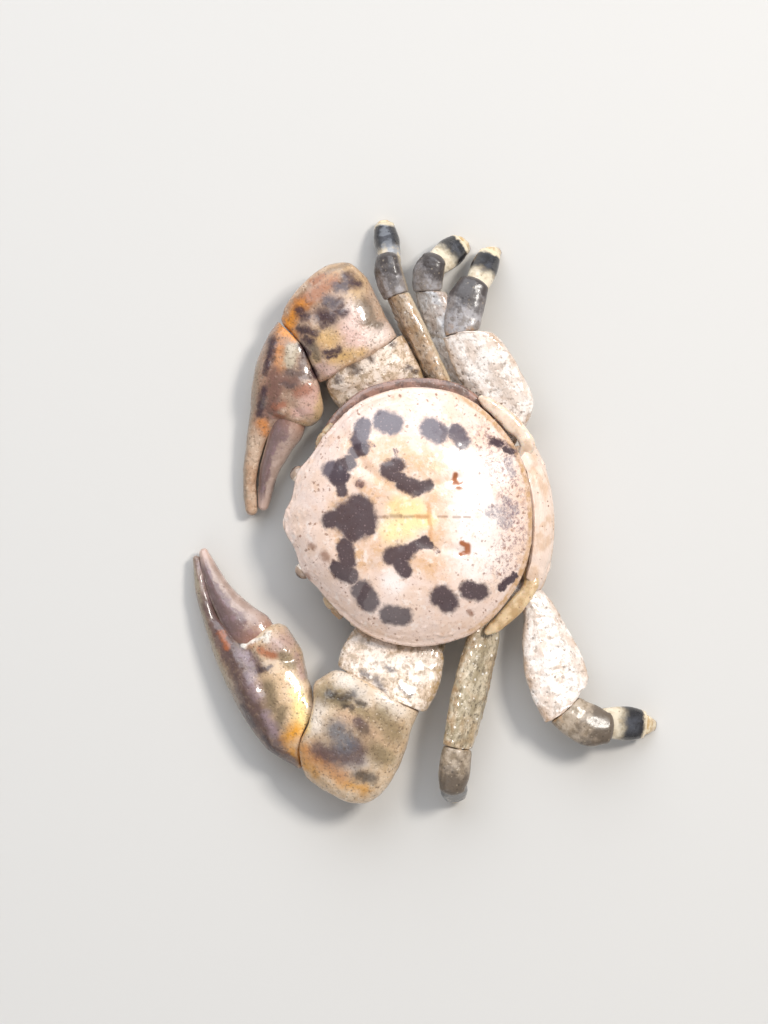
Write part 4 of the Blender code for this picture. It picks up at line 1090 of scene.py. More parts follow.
# %% Sections of the claws
# An edge point near and far, the height, the rise and the drop of each section. A joint has a
# place, a direction, and the height, length and turn of its wave.
CLAWS = {
    "right": {
        "arm": [
            (-4.4, -2.9, -4.6, -1.1, 1.85, 0.5, 0.5),
            (-6.0, -3.6, -6.3, 0.3, 1.75, 0.65, 0.8),
            (-7.4, -4.45, -7.9, 1.15, 1.9, 0.85, 1.0),
            (-8.2, -4.7, -9.2, 0.75, 2.1, 1.15, 1.1), (-9.2, -4.7, -11.0, -0.2, 2.3, 1.2, 1.2)],
        "wrist": [
            (-7.5, -4.2, -10.0, 0.0, 2.35, 1.2, 1.2),
            (-8.1, -4.85, -11.4, -0.75, 2.35, 1.45, 1.3),
            (-9.4, -5.6, -12.9, -1.4, 2.35, 1.6, 1.4),
            (-10.7, -6.3, -14.15, -2.0, 2.2, 1.55, 1.4),
            (-11.7, -6.9, -15.1, -3.0, 2.1, 1.4, 1.3),
            (-12.05, -6.8, -14.75, -4.0, 2.0, 1.1, 1.1),
            (-12.65, -6.35, -14.1, -4.9, 1.9, 0.7, 0.7)],
        "hand": [
            (-12.7, -6.2, -8.9, -4.3, 1.6, 1.4, 1.6),
            (-11.5, -7.65, -7.8, -4.6, 1.55, 1.55, 1.7),
            (-10.0, -8.5, -6.6, -4.85, 1.5, 1.6, 1.7),
            (-8.6, -8.95, -5.7, -5.6, 1.4, 1.4, 1.6),
            (-7.1, -9.15, -5.9, -7.0, 1.2, 1.0, 1.25),
            (-5.0, -9.55, -5.0, -8.25, 1.05, 0.75, 1.05),
            (-3.0, -9.85, -3.1, -9.0, 0.9, 0.6, 0.75),
            (-1.7, -9.88, -1.7, -9.08, 0.8, 0.5, 0.6),
            (-0.95, -9.8, -0.95, -9.08, 0.75, 0.42, 0.45)],
        "finger": [
            (-7.25, -7.3, -5.95, -5.9, 1.4, 0.95, 0.9),
            (-6.3, -7.85, -5.0, -6.25, 1.35, 0.95, 0.9),
            (-5.0, -8.3, -4.2, -6.9, 1.25, 0.85, 0.8),
            (-3.4, -8.8, -2.9, -7.75, 1.1, 0.7, 0.65),
            (-2.0, -9.0, -1.75, -8.15, 0.95, 0.5, 0.5),
            (-1.15, -9.05, -1.05, -8.4, 0.85, 0.35, 0.35)],
        "elbow": ((-9.4, -2.5, 0), (-0.867, -0.498, 0), 0.1, 6.0, 0.0),
        "wrist_joint": ((-10.1, -6.15, 0), (0.434, -0.9, 0), -0.3, 7.0, 1.2),
    },
    "left": {
        "arm": [
            (4.4, -2.9, 4.6, -1.1, 1.95, 0.45, 0.5), (6.1, -3.6, 6.3, 0.4, 2.1, 0.6, 0.5),
            (7.55, -4.5, 8.0, 1.4, 2.35, 0.75, 0.5), (8.7, -4.8, 10.0, 1.1, 2.7, 1.0, 0.8),
            (9.6, -4.5, 11.7, 0.1, 2.95, 1.2, 0.95)],
        "wrist": [
            (8.3, -4.0, 10.7, 0.3, 3.0, 1.2, 1.0), (8.7, -4.95, 12.1, -0.5, 2.95, 1.4, 1.05),
            (9.3, -6.1, 13.9, -1.15, 2.9, 1.55, 1.1),
            (10.3, -7.4, 15.6, -2.1, 2.75, 1.5, 1.2),
            (12.0, -8.2, 16.6, -3.3, 2.5, 1.35, 1.2),
            (12.9, -8.0, 16.3, -4.3, 2.25, 1.0, 1.0), (14.0, -7.1, 15.55, -5.2, 2.1, 0.7, 0.7)],
        "hand": [
            (14.9, -5.7, 10.2, -5.2, 1.8, 1.5, 1.6), (14.35, -7.4, 9.3, -6.2, 1.75, 1.6, 1.8),
            (13.35, -9.0, 8.3, -6.55, 1.65, 1.65, 1.8),
            (11.6, -10.3, 6.9, -7.2, 1.5, 1.6, 1.7),
            (9.7, -11.25, 5.9, -8.1, 1.35, 1.35, 1.5),
            (8.0, -11.9, 6.6, -10.2, 1.2, 1.0, 1.25),
            (6.0, -12.5, 5.5, -11.5, 1.05, 0.75, 1.05),
            (3.9, -12.95, 3.8, -12.15, 0.9, 0.6, 0.7),
            (2.0, -13.05, 2.1, -12.5, 0.7, 0.42, 0.45)],
        "finger": [
            (7.75, -10.4, 6.4, -8.3, 1.4, 1.0, 0.9),
            (7.0, -11.0, 5.45, -8.75, 1.35, 1.0, 0.9),
            (5.6, -11.62, 4.7, -9.75, 1.25, 0.9, 0.8),
            (4.0, -12.2, 3.5, -10.9, 1.1, 0.75, 0.65),
            (2.5, -12.55, 2.1, -11.75, 0.95, 0.55, 0.5),
            (1.65, -12.65, 1.45, -12.1, 0.85, 0.35, 0.35)],
        "elbow": ((10.15, -2.25, 0), (0.858, -0.514, 0), 0.12, 5.0, 0.5),
        "wrist_joint": ((12.0, -6.8, 0), (-0.164, -0.986, 0), 0.28, 5.2, 0.0),
    },
}

# %% [markdown]
# Relief is a list of strokes in plan, each with a width and a height in millimetres, so that
# a swelling or a groove can be read off the table. It acts on the upper side only.

# %% Relief of the claws
CLAW_RELIEF = {              # start x and y, end x and y, width, height
    "right": {
        "arm": [
            (-6.6, -1.7, -8.2, -1.9, 1.2, 0.1), (-7.5, 0.5, -9.6, 0.1, 0.25, -0.06),
            (-7.9, -3.9, -9.0, -4.0, 0.5, 0.12)],
        "wrist": [
            (-10.2, -2.6, -13.2, -3.4, 1.3, 0.16), (-10.0, -5.0, -11.2, -5.4, 0.5, 0.1),
            (-13.6, -2.2, -14.3, -4.2, 0.35, -0.07), (-10.6, -4.2, -12.4, -5.2, 0.3, -0.06),
            (-9.2, -4.4, -9.6, -4.7, 0.4, 0.1)],
        "hand": [
            (-10.9, -7.5, -7.2, -8.7, 0.45, 0.1), (-10.2, -6.3, -9.5, -6.5, 0.45, 0.12),
            (-9.9, -7.2, -7.0, -8.2, 0.3, -0.1), (-7.9, -5.7, -6.6, -5.6, 0.75, 0.28),
            (-8.6, -6.9, -7.1, -6.9, 0.35, -0.14), (-6.6, -6.6, -6.3, -6.2, 0.25, -0.1),
            (-6.4, -8.4, -2.6, -9.3, 0.2, 0.08), (-6.6, -7.35, -6.45, -7.2, 0.18, 0.16)],
    },
    "left": {
        "arm": [
            (6.8, -1.6, 8.8, -1.6, 1.3, 0.1), (8.0, 0.8, 10.2, 0.3, 0.25, -0.06),
            (8.4, -3.9, 9.2, -3.6, 0.5, 0.12)],
        "wrist": [
            (10.6, -2.6, 13.6, -4.4, 1.3, 0.18), (10.3, -5.6, 12.0, -6.0, 0.5, 0.1),
            (14.4, -2.4, 15.6, -4.2, 0.4, -0.08), (11.4, -4.6, 13.4, -6.2, 0.3, -0.06),
            (9.6, -5.0, 9.7, -4.4, 0.4, 0.1)],
        "hand": [
            (6.1, -11.4, 9.6, -10.2, 0.5, 0.14), (9.6, -10.2, 12.9, -8.9, 0.6, 0.14),
            (7.4, -10.0, 9.6, -9.2, 0.28, -0.14), (9.6, -9.2, 12.2, -8.2, 0.28, -0.12),
            (8.9, -8.5, 11.2, -7.9, 0.9, 0.16), (6.7, -8.6, 7.4, -7.9, 0.65, 0.26),
            (7.9, -8.8, 8.1, -7.6, 0.3, -0.14), (6.3, -10.3, 6.6, -9.9, 0.25, 0.16),
            (5.6, -12.2, 2.8, -12.7, 0.2, 0.07)],
    },
}


def raise_strokes(shape, rows):
    """Raise or sink the upper side along the strokes."""
    swell(shape, strokes(shape["points"], rows) * np.clip(shape["upper"] * 2.5, 0, 1))


def weather(shape, amount, per_mm=1.6, seed=0.0):
    """The even unevenness of shell: soft swellings and a fine grain."""
    points = shape["points"]
    swell(shape, amount * (waves(points, per_mm, seed)
                           + 0.35 * waves(points, per_mm * 3.1, seed + 7)))


def bead_edges(shape, height, per_mm, where=0.9):
    """Small rounded granules along the two edges of a plate."""
    edge = np.exp(-((np.abs(shape["across"]) - where) / 0.05) ** 2)
    swell(shape, edge * height * (0.5 + 0.5 * np.sin(shape["along"] * per_mm * 2 * math.pi)))


# Each piece's rings, points round it and cap, its unevenness, and its joints: which one, on
# which of its ends, and how wide the lip there is.
CLAW_PIECES = {
    "arm": (90, 72, 0.5, (0.035, 1.5, 1.0), [("elbow", 1, LIP)]),
    "wrist": (120, 88, 0.25, (0.045, 1.3, 2.0), [("elbow", -1, LIP), ("wrist_joint", 1, 0.4)]),
    "hand": (150, 88, 0.4, (0.04, 1.4, 3.0), [("wrist_joint", -1, 0.5)]),
    "finger": (100, 56, 0.3, (0.02, 1.8, 4.0), []),
}
for side in ("right", "left"):
    looks = {"arm": (ARM_FINISH, "arm_shell"), "wrist": (CLAW_FINISH[side], "claw_shell"),
             "hand": (CLAW_FINISH[side], "claw_shell"),
             "finger": (FINGER_FINISH, "finger_shell")}
    for part, (rings, around, cap, unevenness, joints) in CLAW_PIECES.items():
        shape = body(plate(CLAWS[side][part]), rings, around, cap)
        for joint, end, lip in joints:
            end_at(shape, CLAWS[side][joint], end, lip)
        if part == "finger":
            ridge = np.exp(-((shape["across"] + 0.25) / 0.3) ** 2) * (shape["upper"] > 0)
            swell(shape, 0.10 * ridge * np.sin(math.pi * np.clip(shape["run"], 0, 1)))
        else:
            raise_strokes(shape, CLAW_RELIEF[side][part])
        weather(shape, *unevenness)
        if part == "arm":
            bead_edges(shape, 0.05, 1.6)
        finish_body(f"claw_{part}_{side}_plate", shape, *looks[part],
                    [f"claw_{part}_{side}"])
print("claws made,", len(PIECES), "pieces so far")

# %% [markdown]
# ## Finish: the walking legs
# Each upper blade is bone or grey, netted with brown and streaked along its length. For
# streaks the noise must be stretched along the leg, so its place is built from the marks:
# little change along, more across. The knee is a slate cap that pales towards its root, the
# lower piece cream with one black band, which has a painted blue-grey sheen along its
# middle, and the claw is horn.

# %% Paint the walking legs
def paint_upper_leg(name, light, middle_tone, dark, net, warm):
    skin = Finish(name, light)
    streaky = skin.along_limb(0.9, 2.0)
    skin.lay(middle_tone, skin.mottling(1.0, 0.42, 0.6, at=streaky))
    skin.lay(OCHRE, skin.mottling(0.8, 0.48, 0.62), warm)
    skin.lay(dark, skin.mottling(2.4, 0.5, 0.63, 0.8, streaky), net)
    skin.lay(dark, skin.mottling(4.5, 0.54, 0.66, 0.8), net)
    skin.lay(dark, skin.freckles(3.4, 0.36, 0.5), 0.6)
    skin.lay(paint(248, 242, 234), skin.freckles(3.0, 0.36, 0.45), 0.8)
    skin.lay(OCHRE, skin.edge(0.7, 0.98), skin.mottling(1.2, 0.4, 0.6), 0.5)
    run = skin.mark("run")
    ends = skin.maths("MAXIMUM", skin.fade(run, 0.93, 1.0), skin.fade(run, 0.0, 0.15, 1.0, 0.0))
    skin.lay(OCHRE, ends, 0.45)
    skin.underneath(paint(206, 186, 156))
    return skin.seal(coat=0.75, sleek=0.2, dull=0.42, pores=3.4, pore_depth=0.7, bump=0.11)


def paint_knee(name, root, middle_tone, cap_tone):
    skin = Finish(name, root)
    wander = skin.scaled(skin.mottling(1.3, 0.3, 0.7), 0.34, -0.17)
    at = skin.maths("ADD", skin.mark("run"), wander)
    skin.lay(middle_tone, skin.mottling(2.0, 0.42, 0.6))
    skin.lay(cap_tone, skin.fade(at, 0.36, 0.78))
    skin.lay(OCHRE, skin.fade(at, 0.0, 0.2, 0.6, 0.0))
    skin.lay(paint(46, 38, 34), skin.mottling(5.0, 0.54, 0.68, 0.8), 0.45)
    skin.lay(paint(176, 160, 136), skin.freckles(4.2, 0.36, 0.5), 0.4)
    skin.lay(paint(40, 34, 32), skin.freckles(3.0, 0.3, 0.4), 0.5)
    skin.underneath(paint(168, 150, 124))
    return skin.seal(coat=0.45, sleek=0.3, dull=0.55, pores=4.0, pore_depth=0.6, bump=0.07,
                     coat_roughness=0.16)


def paint_band(name, root_end, band_end, root_tone, tip_tone):
    skin = Finish(name, root_tone)
    wander = skin.scaled(skin.mottling(2.0, 0.3, 0.7), 0.06, -0.03)
    at = skin.maths("ADD", skin.mark("run"), wander)
    band = skin.times(skin.fade(at, root_end - 0.13, root_end + 0.1),
                      skin.fade(at, band_end - 0.03, band_end + 0.03, 1.0, 0.0))
    skin.lay(paint(194, 176, 148), skin.mottling(1.8, 0.42, 0.6))
    skin.lay(paint(132, 112, 90), skin.freckles(3.5, 0.32, 0.4), 0.5)
    skin.lay(tip_tone, skin.fade(at, band_end, band_end + 0.05))
    skin.lay(BAND_BLACK, band)
    # A painted blue-grey sheen along the middle of the black band.
    skin.lay(paint(94, 96, 104), band, skin.edge(0.1, 0.8, 0.5, 0.0),
             skin.mottling(1.0, 0.4, 0.6))
    return skin.seal(coat=0.9, sleek=0.2, dull=0.36, pores=5.0, pore_depth=0.4, bump=0.04)


def paint_horn():
    skin = Finish("horn claw", HORN)
    skin.lay(paint(196, 164, 116), skin.mottling(2.5, 0.4, 0.6))
    skin.lay(paint(92, 62, 40), skin.fade(skin.mark("run"), 0.86, 0.97))
    return skin.seal(coat=0.8, sleek=0.2, dull=0.3, bump=0.02)


BROAD_LEG = paint_upper_leg("broad leg blade", paint(250, 240, 232), paint(226, 208, 194),
                            paint(132, 110, 92), 0.5, 0.15)
GREY_LEG = paint_upper_leg("grey leg blade", paint(226, 226, 228), paint(194, 190, 190),
                           paint(104, 92, 84), 0.5, 0.3)
OCHRE_LEG = paint_upper_leg("ochre leg blade", paint(206, 186, 166), paint(170, 146, 120),
                            paint(84, 66, 50), 0.7, 0.5)
OLIVE_LEG = paint_upper_leg("olive leg blade", paint(206, 190, 164), paint(168, 152, 124),
                            paint(92, 78, 56), 0.7, 0.3)
KNEE = paint_knee("slate knee", paint(166, 160, 160), paint(138, 128, 122), paint(72, 64, 62))
GREY_KNEE = paint_knee("grey knee", paint(176, 158, 138), paint(140, 122, 100),
                       paint(100, 86, 72))
BAND = paint_band("banded leg", 0.5, 0.87, paint(222, 208, 184), paint(228, 208, 176))
HIGH_BAND = paint_band("high banded leg", 0.44, 0.87, paint(150, 150, 152),
                       paint(206, 190, 160))
DARK_BAND = paint_band("dark banded leg", 0.1, 0.97, paint(110, 100, 90), paint(70, 62, 56))
HORN_FINISH = paint_horn()

# %% [markdown]
# ## Pieces: the walking legs
# A walking leg is four pieces from hip to toe: a broad upper blade, the knee, the lower piece
# and a small claw. Each leg is one row of places, so that the six legs come from one loop.
# A short rounded hip, which the solid body hides, joins each blade to the underside.

# %% Shape the walking legs
# Hip, bend, knee, ankle, heel and toe, then the blade's roll in degrees and the leg's breadth.
LEGS = {
    "leg_1_right": ((-4.7, 1.7, 1.75), (-7.6, 2.05, 1.95), (-13.0, -0.15, 2.2),
                    (-14.95, -0.52, 2.2), (-17.1, -0.78, 0.75), (-17.5, -0.75, 0.0), 72, 1.0),
    "leg_2_right": ((-4.4, 3.5, 1.6), (-7.8, 3.35, 1.5), (-13.2, 1.7, 2.0),
                    (-14.75, 2.1, 2.3), (-15.85, 3.5, 0.85), (-15.7, 4.1, 0.0), 46, 1.0),
    "leg_3_right": ((-3.5, 5.2, 1.75), (-6.2, 6.1, 2.3), (-10.6, 3.55, 2.85),
                    (-13.2, 4.4, 2.5), (-15.15, 5.3, 0.85), (-15.5, 5.9, 0.0), 14, 1.18),
    "leg_1_left": ((4.7, 1.7, 1.6), (6.9, 1.0, 0.95), (11.0, -1.4, 0.9),
                   (12.6, -2.6, 0.85), (14.3, -4.1, 0.65), (14.9, -4.7, 0.0), 0, 0.8),
    "leg_2_left": ((4.4, 3.5, 1.75), (7.0, 3.9, 2.0), (13.6, 2.0, 2.7),
                   (15.75, 1.62, 2.6), (16.5, 1.75, 0.8), (16.65, 1.95, 0.0), 40, 1.0),
    "leg_3_left": ((3.5, 5.2, 1.75), (5.6, 7.05, 2.0), (11.65, 8.5, 2.3),
                   (12.6, 10.65, 2.1), (12.9, 12.9, 0.8), (13.05, 13.75, 0.0), 12, 1.28),
}
BLADE_SHARES = (0.46, 0.64, 0.85, 0.99, 1.02, 0.92, 0.74)   # of its breadth, hip to knee
DROP_SHARES = {"leg_3_left": (0.46, 0.5, 0.57, 0.9, 1.14, 1.1, 0.92),
               "leg_3_right": (0.46, 0.7, 0.95, 1.12, 1.16, 1.0, 0.78)}
KNEE_BOWS = {"leg_1_right": (0, -0.25, 0), "leg_2_right": (0, -0.3, 0),
             "leg_3_right": (0, -0.35, 0), "leg_3_left": (0.45, -0.1, 0)}
LEG_THICKNESS, UPPER_BREADTH, LOWER_BREADTH, KNEE_BREADTH = 1.1, 2.5, 1.7, 1.9
# Shares of the breadth and of the thickness at each section of the lower pieces.
KNEE_SHARES = (0.84, 0.98, 1.0, 0.8), (1.05, 1.2, 1.25, 1.05)
SHIN_SHARES = (0.8, 1.0, 1.04, 0.86), (0.9, 0.95, 0.9, 0.8)
# Breadths and thicknesses in mm at each section of the claw and of the hip.
TOE_SECTIONS = (1.1, 1.12, 0.95, 0.55), (0.8, 0.8, 0.65, 0.3)
HIP_SECTIONS = (1.1, 1.5, 1.1), (1.1, 1.25, 1.05)
KNEE_LIP = 0.3                   # mm
SHIN_SIZES = {"leg_1_right": 0.84, "leg_2_right": 1.0, "leg_3_right": 0.92,
              "leg_1_left": 0.85, "leg_2_left": 0.9, "leg_3_left": 1.14}


def keel(shape, at, width, height):
    """A raised line along the upper side of a limb."""
    line = np.exp(-((shape["across"] - at) / width) ** 2) * np.clip(shape["upper"] * 3, 0, 1)
    swell(shape, height * line * np.sin(math.pi * np.clip(shape["run"], 0, 1)) ** 0.5)


def wrinkle(shape, height, per_mm, seed):
    """Short scaly wrinkles across a blade, as on a file."""
    curl = waves(shape["points"], 1.1, seed) * 2.2
    rows = np.sin((shape["along"] * per_mm + shape["across"] * 0.8) * 2 * math.pi + curl * 2)
    patches = np.clip(waves(shape["points"], 1.7, seed + 3) * 2 + 0.4, 0, 1)
    swell(shape, height * rows * patches * np.clip(shape["upper"] * 3, 0, 1))


def walking_leg(name, upper_finish, knee_finish, lower_finish):
    """The five pieces of one leg: blade, knee, shin, claw and hip."""
    hip, bend, knee, ankle, heel, toe = np.array(LEGS[name][:6], dtype=float)
    roll, squeeze = LEGS[name][6:]
    size = SHIN_SIZES[name]
    seed = sum(map(ord, name)) % 40              # so that each leg is uneven in its own way
    onwards = unit(knee - bend)
    places = [hip, (hip + bend) / 2, bend, bend + (knee - bend) * 0.3,
              bend + (knee - bend) * 0.6, bend + (knee - bend) * 0.85, knee + onwards * 0.5]
    breadths = np.array(DROP_SHARES.get(name, BLADE_SHARES)) * UPPER_BREADTH * squeeze
    upper = body(limb(places, breadths, [LEG_THICKNESS * 1.04] * 7, roll),
                 rings=130, around=72, cap=0.3)
    knee_way = unit(onwards + unit(ankle - knee))
    knee_joint = (knee, knee_way, 0.1, 4.0, math.pi / 2)
    end_at(upper, knee_joint, 1, KNEE_LIP)
    keel(upper, 0.35, 0.16, 0.07)
    keel(upper, -0.5, 0.14, 0.06)
    wrinkle(upper, 0.03, 1.5, seed)
    weather(upper, 0.035, 1.5, seed)
    finish_body(f"{name}_blade", upper, upper_finish, "leg_shell", [f"{name}_merus"])
    shank, bow = unit(ankle - knee), np.array(KNEE_BOWS.get(name, (0, 0, 0)))
    knee_piece = body(limb(
        [knee - shank * 0.5, knee + (ankle - knee) * 0.3 + bow * 0.8,
         knee + (ankle - knee) * 0.75 + bow, ankle + shank * 0.25 + bow * 0.5],
        np.array(KNEE_SHARES[0]) * KNEE_BREADTH * squeeze,
        np.array(KNEE_SHARES[1]) * LEG_THICKNESS, roll * 0.7),
        rings=80, around=60, cap=0.42)
    end_at(knee_piece, knee_joint, -1, KNEE_LIP)
    knee_piece["points"][..., 2] += 0.12 * knee_piece["run"]
    keel(knee_piece, 0.1, 0.2, 0.06)
    weather(knee_piece, 0.03, 1.7, seed + 1)
    finish_body(f"{name}_knee", knee_piece, knee_finish, "leg_slate", [f"{name}_carpus"])
    shin_way = unit(heel - ankle)
    level_way = unit(shin_way * (1, 1, 0.4))
    lower = body(limb(
        [ankle - shin_way * 0.4 - (0, 0, 0.1), ankle + (heel - ankle) * 0.35,
         ankle + (heel - ankle) * 0.7, heel + level_way * 0.08],
        np.array(SHIN_SHARES[0]) * LOWER_BREADTH * size,
        np.array(SHIN_SHARES[1]) * LEG_THICKNESS), rings=80, around=56, cap=0.3)
    lower["points"][..., 2] += np.maximum(0, 0.02 - lower["points"][..., 2].min())
    weather(lower, 0.015, 1.8, seed + 2)
    finish_body(f"{name}_shin", lower, lower_finish, "leg_banded", [f"{name}_propodus"])
    claw = body(limb([heel - level_way * 0.4, heel + level_way * 0.1,
                      (heel + toe) / 2 + (0, 0, 0.12), toe],
                     np.array(TOE_SECTIONS[0]) * size, TOE_SECTIONS[1]),
                rings=90, around=40, cap=0.12)
    finish_body(f"{name}_claw", claw, HORN_FINISH, "leg_claw", [f"{name}_dactyl"])
    way = unit(bend - hip)
    hip_piece = body(limb([hip - way * 1.3 + (0, 0, -0.1), hip, hip + way * 1.1],
                          *HIP_SECTIONS), rings=30, around=32, cap=0.3)
    weather(hip_piece, 0.02, 1.6, seed + 3)
    finish_body(f"{name}_hip", hip_piece, upper_finish, "leg_shell")


UPPER_FINISHES = {"leg_1_right": OCHRE_LEG, "leg_2_right": GREY_LEG, "leg_3_right": BROAD_LEG,
                  "leg_1_left": OLIVE_LEG, "leg_2_left": OLIVE_LEG, "leg_3_left": BROAD_LEG}
SHIN_FINISHES = {"leg_1_right": HIGH_BAND, "leg_2_left": DARK_BAND, "leg_1_left": DARK_BAND}
for name, upper_finish in UPPER_FINISHES.items():
    walking_leg(name, upper_finish, GREY_KNEE if name.endswith("left") else KNEE,
                SHIN_FINISHES.get(name, BAND))
print("walking legs made,", len(PIECES), "pieces so far")

# %% [markdown]
# ## Finish: underside, abdomen and feelers
# Below and behind, the shell is a plainer cream with fine speckles. The hoops of the abdomen
# have fine lines across them. The thin hind limbs and feelers are ochre and look translucent,
# which a little light scattered under the surface gives.

# %% Paint the plain shells
def paint_plain(name, light, dark, lined=0.0, glow=0.0, peppered=0.6):
    skin = Finish(name, light)
    skin.lay(dark, skin.mottling(1.0, 0.42, 0.6))
    if lined:
        lines = add(skin.tree, "TexWave", {"Vector": skin.along_limb(1.0, 0.05),
                                           "Scale": 3.0, "Distortion": 2.0},
                    bands_direction="X")
        skin.lay(paint(146, 104, 78), skin.fade(lines.outputs["Fac"], 0.75, 0.95), lined)
    skin.lay(paint(134, 96, 74), skin.freckles(3.6, 0.3, 0.45), peppered)
    return skin.seal(coat=0.75, sleek=0.22, dull=0.4, bump=0.04, glow=glow)


# The mouth parts are ochre brown, darker than the underside: partly their own colour, partly
# painted shade under the head.
MOUTH_FINISH = paint_plain("mouth flap", paint(206, 182, 144), paint(160, 130, 94),
                           peppered=0.5)
UNDER_FINISH = paint_plain("under shell", paint(232, 214, 184), paint(212, 186, 150),
                           peppered=0.25)
ABDOMEN_FINISH = paint_plain("abdomen shell", paint(238, 214, 198), paint(220, 188, 162),
                             lined=0.15, peppered=0.9)
FEELER_FINISH = paint_plain("feeler", paint(206, 180, 146), paint(166, 136, 104), glow=0.3)
HIND_FINISHES = {
    "right": paint_plain("right hind limb", paint(232, 210, 190), paint(206, 176, 150),
                         glow=0.2),
    "left": paint_plain("left hind limb", paint(222, 194, 154), paint(186, 152, 108), glow=0.2)}


def paint_eye():
    skin = Finish("eye", paint(222, 198, 172))
    run = skin.mark("run")
    skin.lay(paint(176, 142, 112), skin.mottling(3.0, 0.4, 0.6))
    skin.lay(paint(166, 142, 122), skin.fade(run, 0.55, 0.66))
    skin.lay(paint(232, 216, 198), skin.fade(run, 0.72, 0.76),
             skin.fade(run, 0.82, 0.86, 1.0, 0.0))
    skin.lay(paint(158, 134, 116), skin.fade(run, 0.86, 0.9))
    skin.lay(paint(62, 48, 42), skin.fade(run, 0.95, 0.98))
    return skin.seal(coat=1.0, sleek=0.1, dull=0.2, bump=0.01, coat_roughness=0.03)


EYE_FINISH = paint_eye()

# %% [markdown]
# ## Pieces: the folded abdomen
# The abdomen is six hoops and a tail fan. It starts behind the shield's rear margin, bends
# down and folds flat under the body, as in true crabs. Each hoop is a thin plate across the
# run, a little raised at its trailing edge, so that it lies over the next like a roof tile.

# %% Shape the abdomen
# Its middle line from behind the shield: back, height and half width.
ABDOMEN_RUN = [(7.0, 3.45, 3.5), (7.75, 2.95, 4.1), (8.05, 2.1, 4.3), (7.7, 1.25, 4.3),
               (6.6, 0.85, 4.2), (4.8, 0.8, 4.0), (3.0, 0.8, 3.7), (1.2, 0.8, 3.3),
               (-0.4, 0.8, 2.9), (-1.8, 0.85, 2.4)]
ABDOMEN_JOINTS = (0.0, 0.115, 0.235, 0.36, 0.5, 0.64, 0.79, 1.0)
ABDOMEN_THICKNESS, ABDOMEN_SKEW = 0.62, 0.35
HOOP_BOW = (0.045, 0.04, 0.03, 0.015, 0.0, 0.0)   # how far each curves round the body
run_rows = through(ABDOMEN_RUN, np.linspace(0, len(ABDOMEN_RUN) - 1, 200))
travelled = np.concatenate(([0.0], np.cumsum(
    np.linalg.norm(np.diff(run_rows[:, :2], axis=0), axis=1))))


def on_run(t):
    """Where the abdomen's middle line is, t millimetres from its start, and how wide."""
    return [np.interp(t, travelled, run_rows[:, column]) for column in range(3)]


for number, (start, end) in enumerate(zip(ABDOMEN_JOINTS, ABDOMEN_JOINTS[1:-1]), 1):
    first, last = start * travelled[-1], end * travelled[-1]
    rows = []
    for t in np.linspace(first + 0.08, last - 0.02, 5):
        y, z, wide = on_run(t)
        rows.append([ABDOMEN_SKEW, y, z, -wide, 0, 0, ABDOMEN_THICKNESS / 2,
                     ABDOMEN_THICKNESS / 2])
    hoop = body(rows, rings=36, around=96, cap=0.12)
    trailing = np.clip((hoop["run"] - 0.55) / 0.35, 0, 1)
    swell(hoop, 0.07 * trailing + 0.012 * np.sin(hoop["run"] * 20))
    swell(hoop, -0.08 * np.exp(-((np.abs(hoop["across"]) - 0.72) / 0.05) ** 2))
    weather(hoop, 0.02, 1.4, number)
    bow = HOOP_BOW[number - 1] * (hoop["points"][..., 0] - ABDOMEN_SKEW) ** 2
    hoop["points"][..., 1] -= bow
    finish_body(f"abdomen_hoop_{number}", hoop, ABDOMEN_FINISH, "abdomen_shell",
                [f"abdomen_{number}"])

# %% [markdown]
# The tail fan is a middle plate with two paddles on each side. Each paddle is a thin oval
# plate that leans outwards, and they lie side by side against the underside of the body.

# %% Shape the tail fan
FAN_START = 0.8                  # as a share of the abdomen's run
fan_y = on_run(FAN_START * travelled[-1])[0]
# Name, place to the side, breadth, length and lean in degrees.
TAIL_PADDLES = [("middle", 0.0, 2.0, 3.1, 0), ("inner_left", 1.35, 1.35, 2.7, 22),
                ("inner_right", -1.35, 1.35, 2.7, -22), ("outer_left", 2.1, 1.2, 2.2, 40),
                ("outer_right", -2.1, 1.2, 2.2, -40)]
for label, sideways, broad, long, lean in TAIL_PADDLES:
    root = np.array((ABDOMEN_SKEW + sideways * 0.75, fan_y, 0.8 - 0.05 * abs(sideways)))
    way = np.array((math.sin(math.radians(lean)), -math.cos(math.radians(lean)), 0))
    paddle = body(limb([root, root + way * long * 0.35, root + way * long * 0.75,
                        root + way * long],
                       (broad * 0.6, broad, broad * 0.95, broad * 0.45),
                       (0.42, 0.4, 0.34, 0.22)), rings=44, around=40, cap=0.25)
    keel(paddle, 0.0, 0.2, 0.04)
    finish_body(f"tail_{label}", paddle, ABDOMEN_FINISH, "abdomen_shell",
                ["tail_fan"] if label == "middle" else [])
print("abdomen made,", len(PIECES), "pieces so far")

# %% [markdown]
# ## Pieces: the underside
# The sternum is the floor of the body between the legs, a flat shield with a groove for each
# pair of legs. The mouth is covered by two leg-like flaps. Each ends in a thin bent part with
# a fringe of long hairs, which the crab spreads like a fan to sieve food. At rest it is folded.

# %% Shape the underside
FRINGE_HAIRS = 12                # on each flap
FLOOR_EDGES = ((1.9, -3.4), (4.6, -2.2), (5.0, 0.0), (4.9, 2.4), (4.2, 4.4), (2.6, 6.0))
FLOOR_SEAMS = (-2.4, -0.3, 1.5, 3.2, 4.8)        # where the grooves between the legs are
sternum = body(plate([(-x, y, x, y, 1.875, 0.6, 0.425) for x, y in FLOOR_EDGES]), rings=90,
               around=96, cap=0.4)
below = np.clip(-sternum["upper"] * 2, 0, 1)
seams = sum(np.exp(-((sternum["points"][..., 1] - level) / 0.12) ** 2)
            for level in FLOOR_SEAMS)
swell(sternum, -0.12 * seams * below * np.clip(np.abs(sternum["across"]) * 3 - 0.6, 0, 1))
finish_body("sternum_plate", sternum, UNDER_FINISH, "under_shell", ["sternum"])

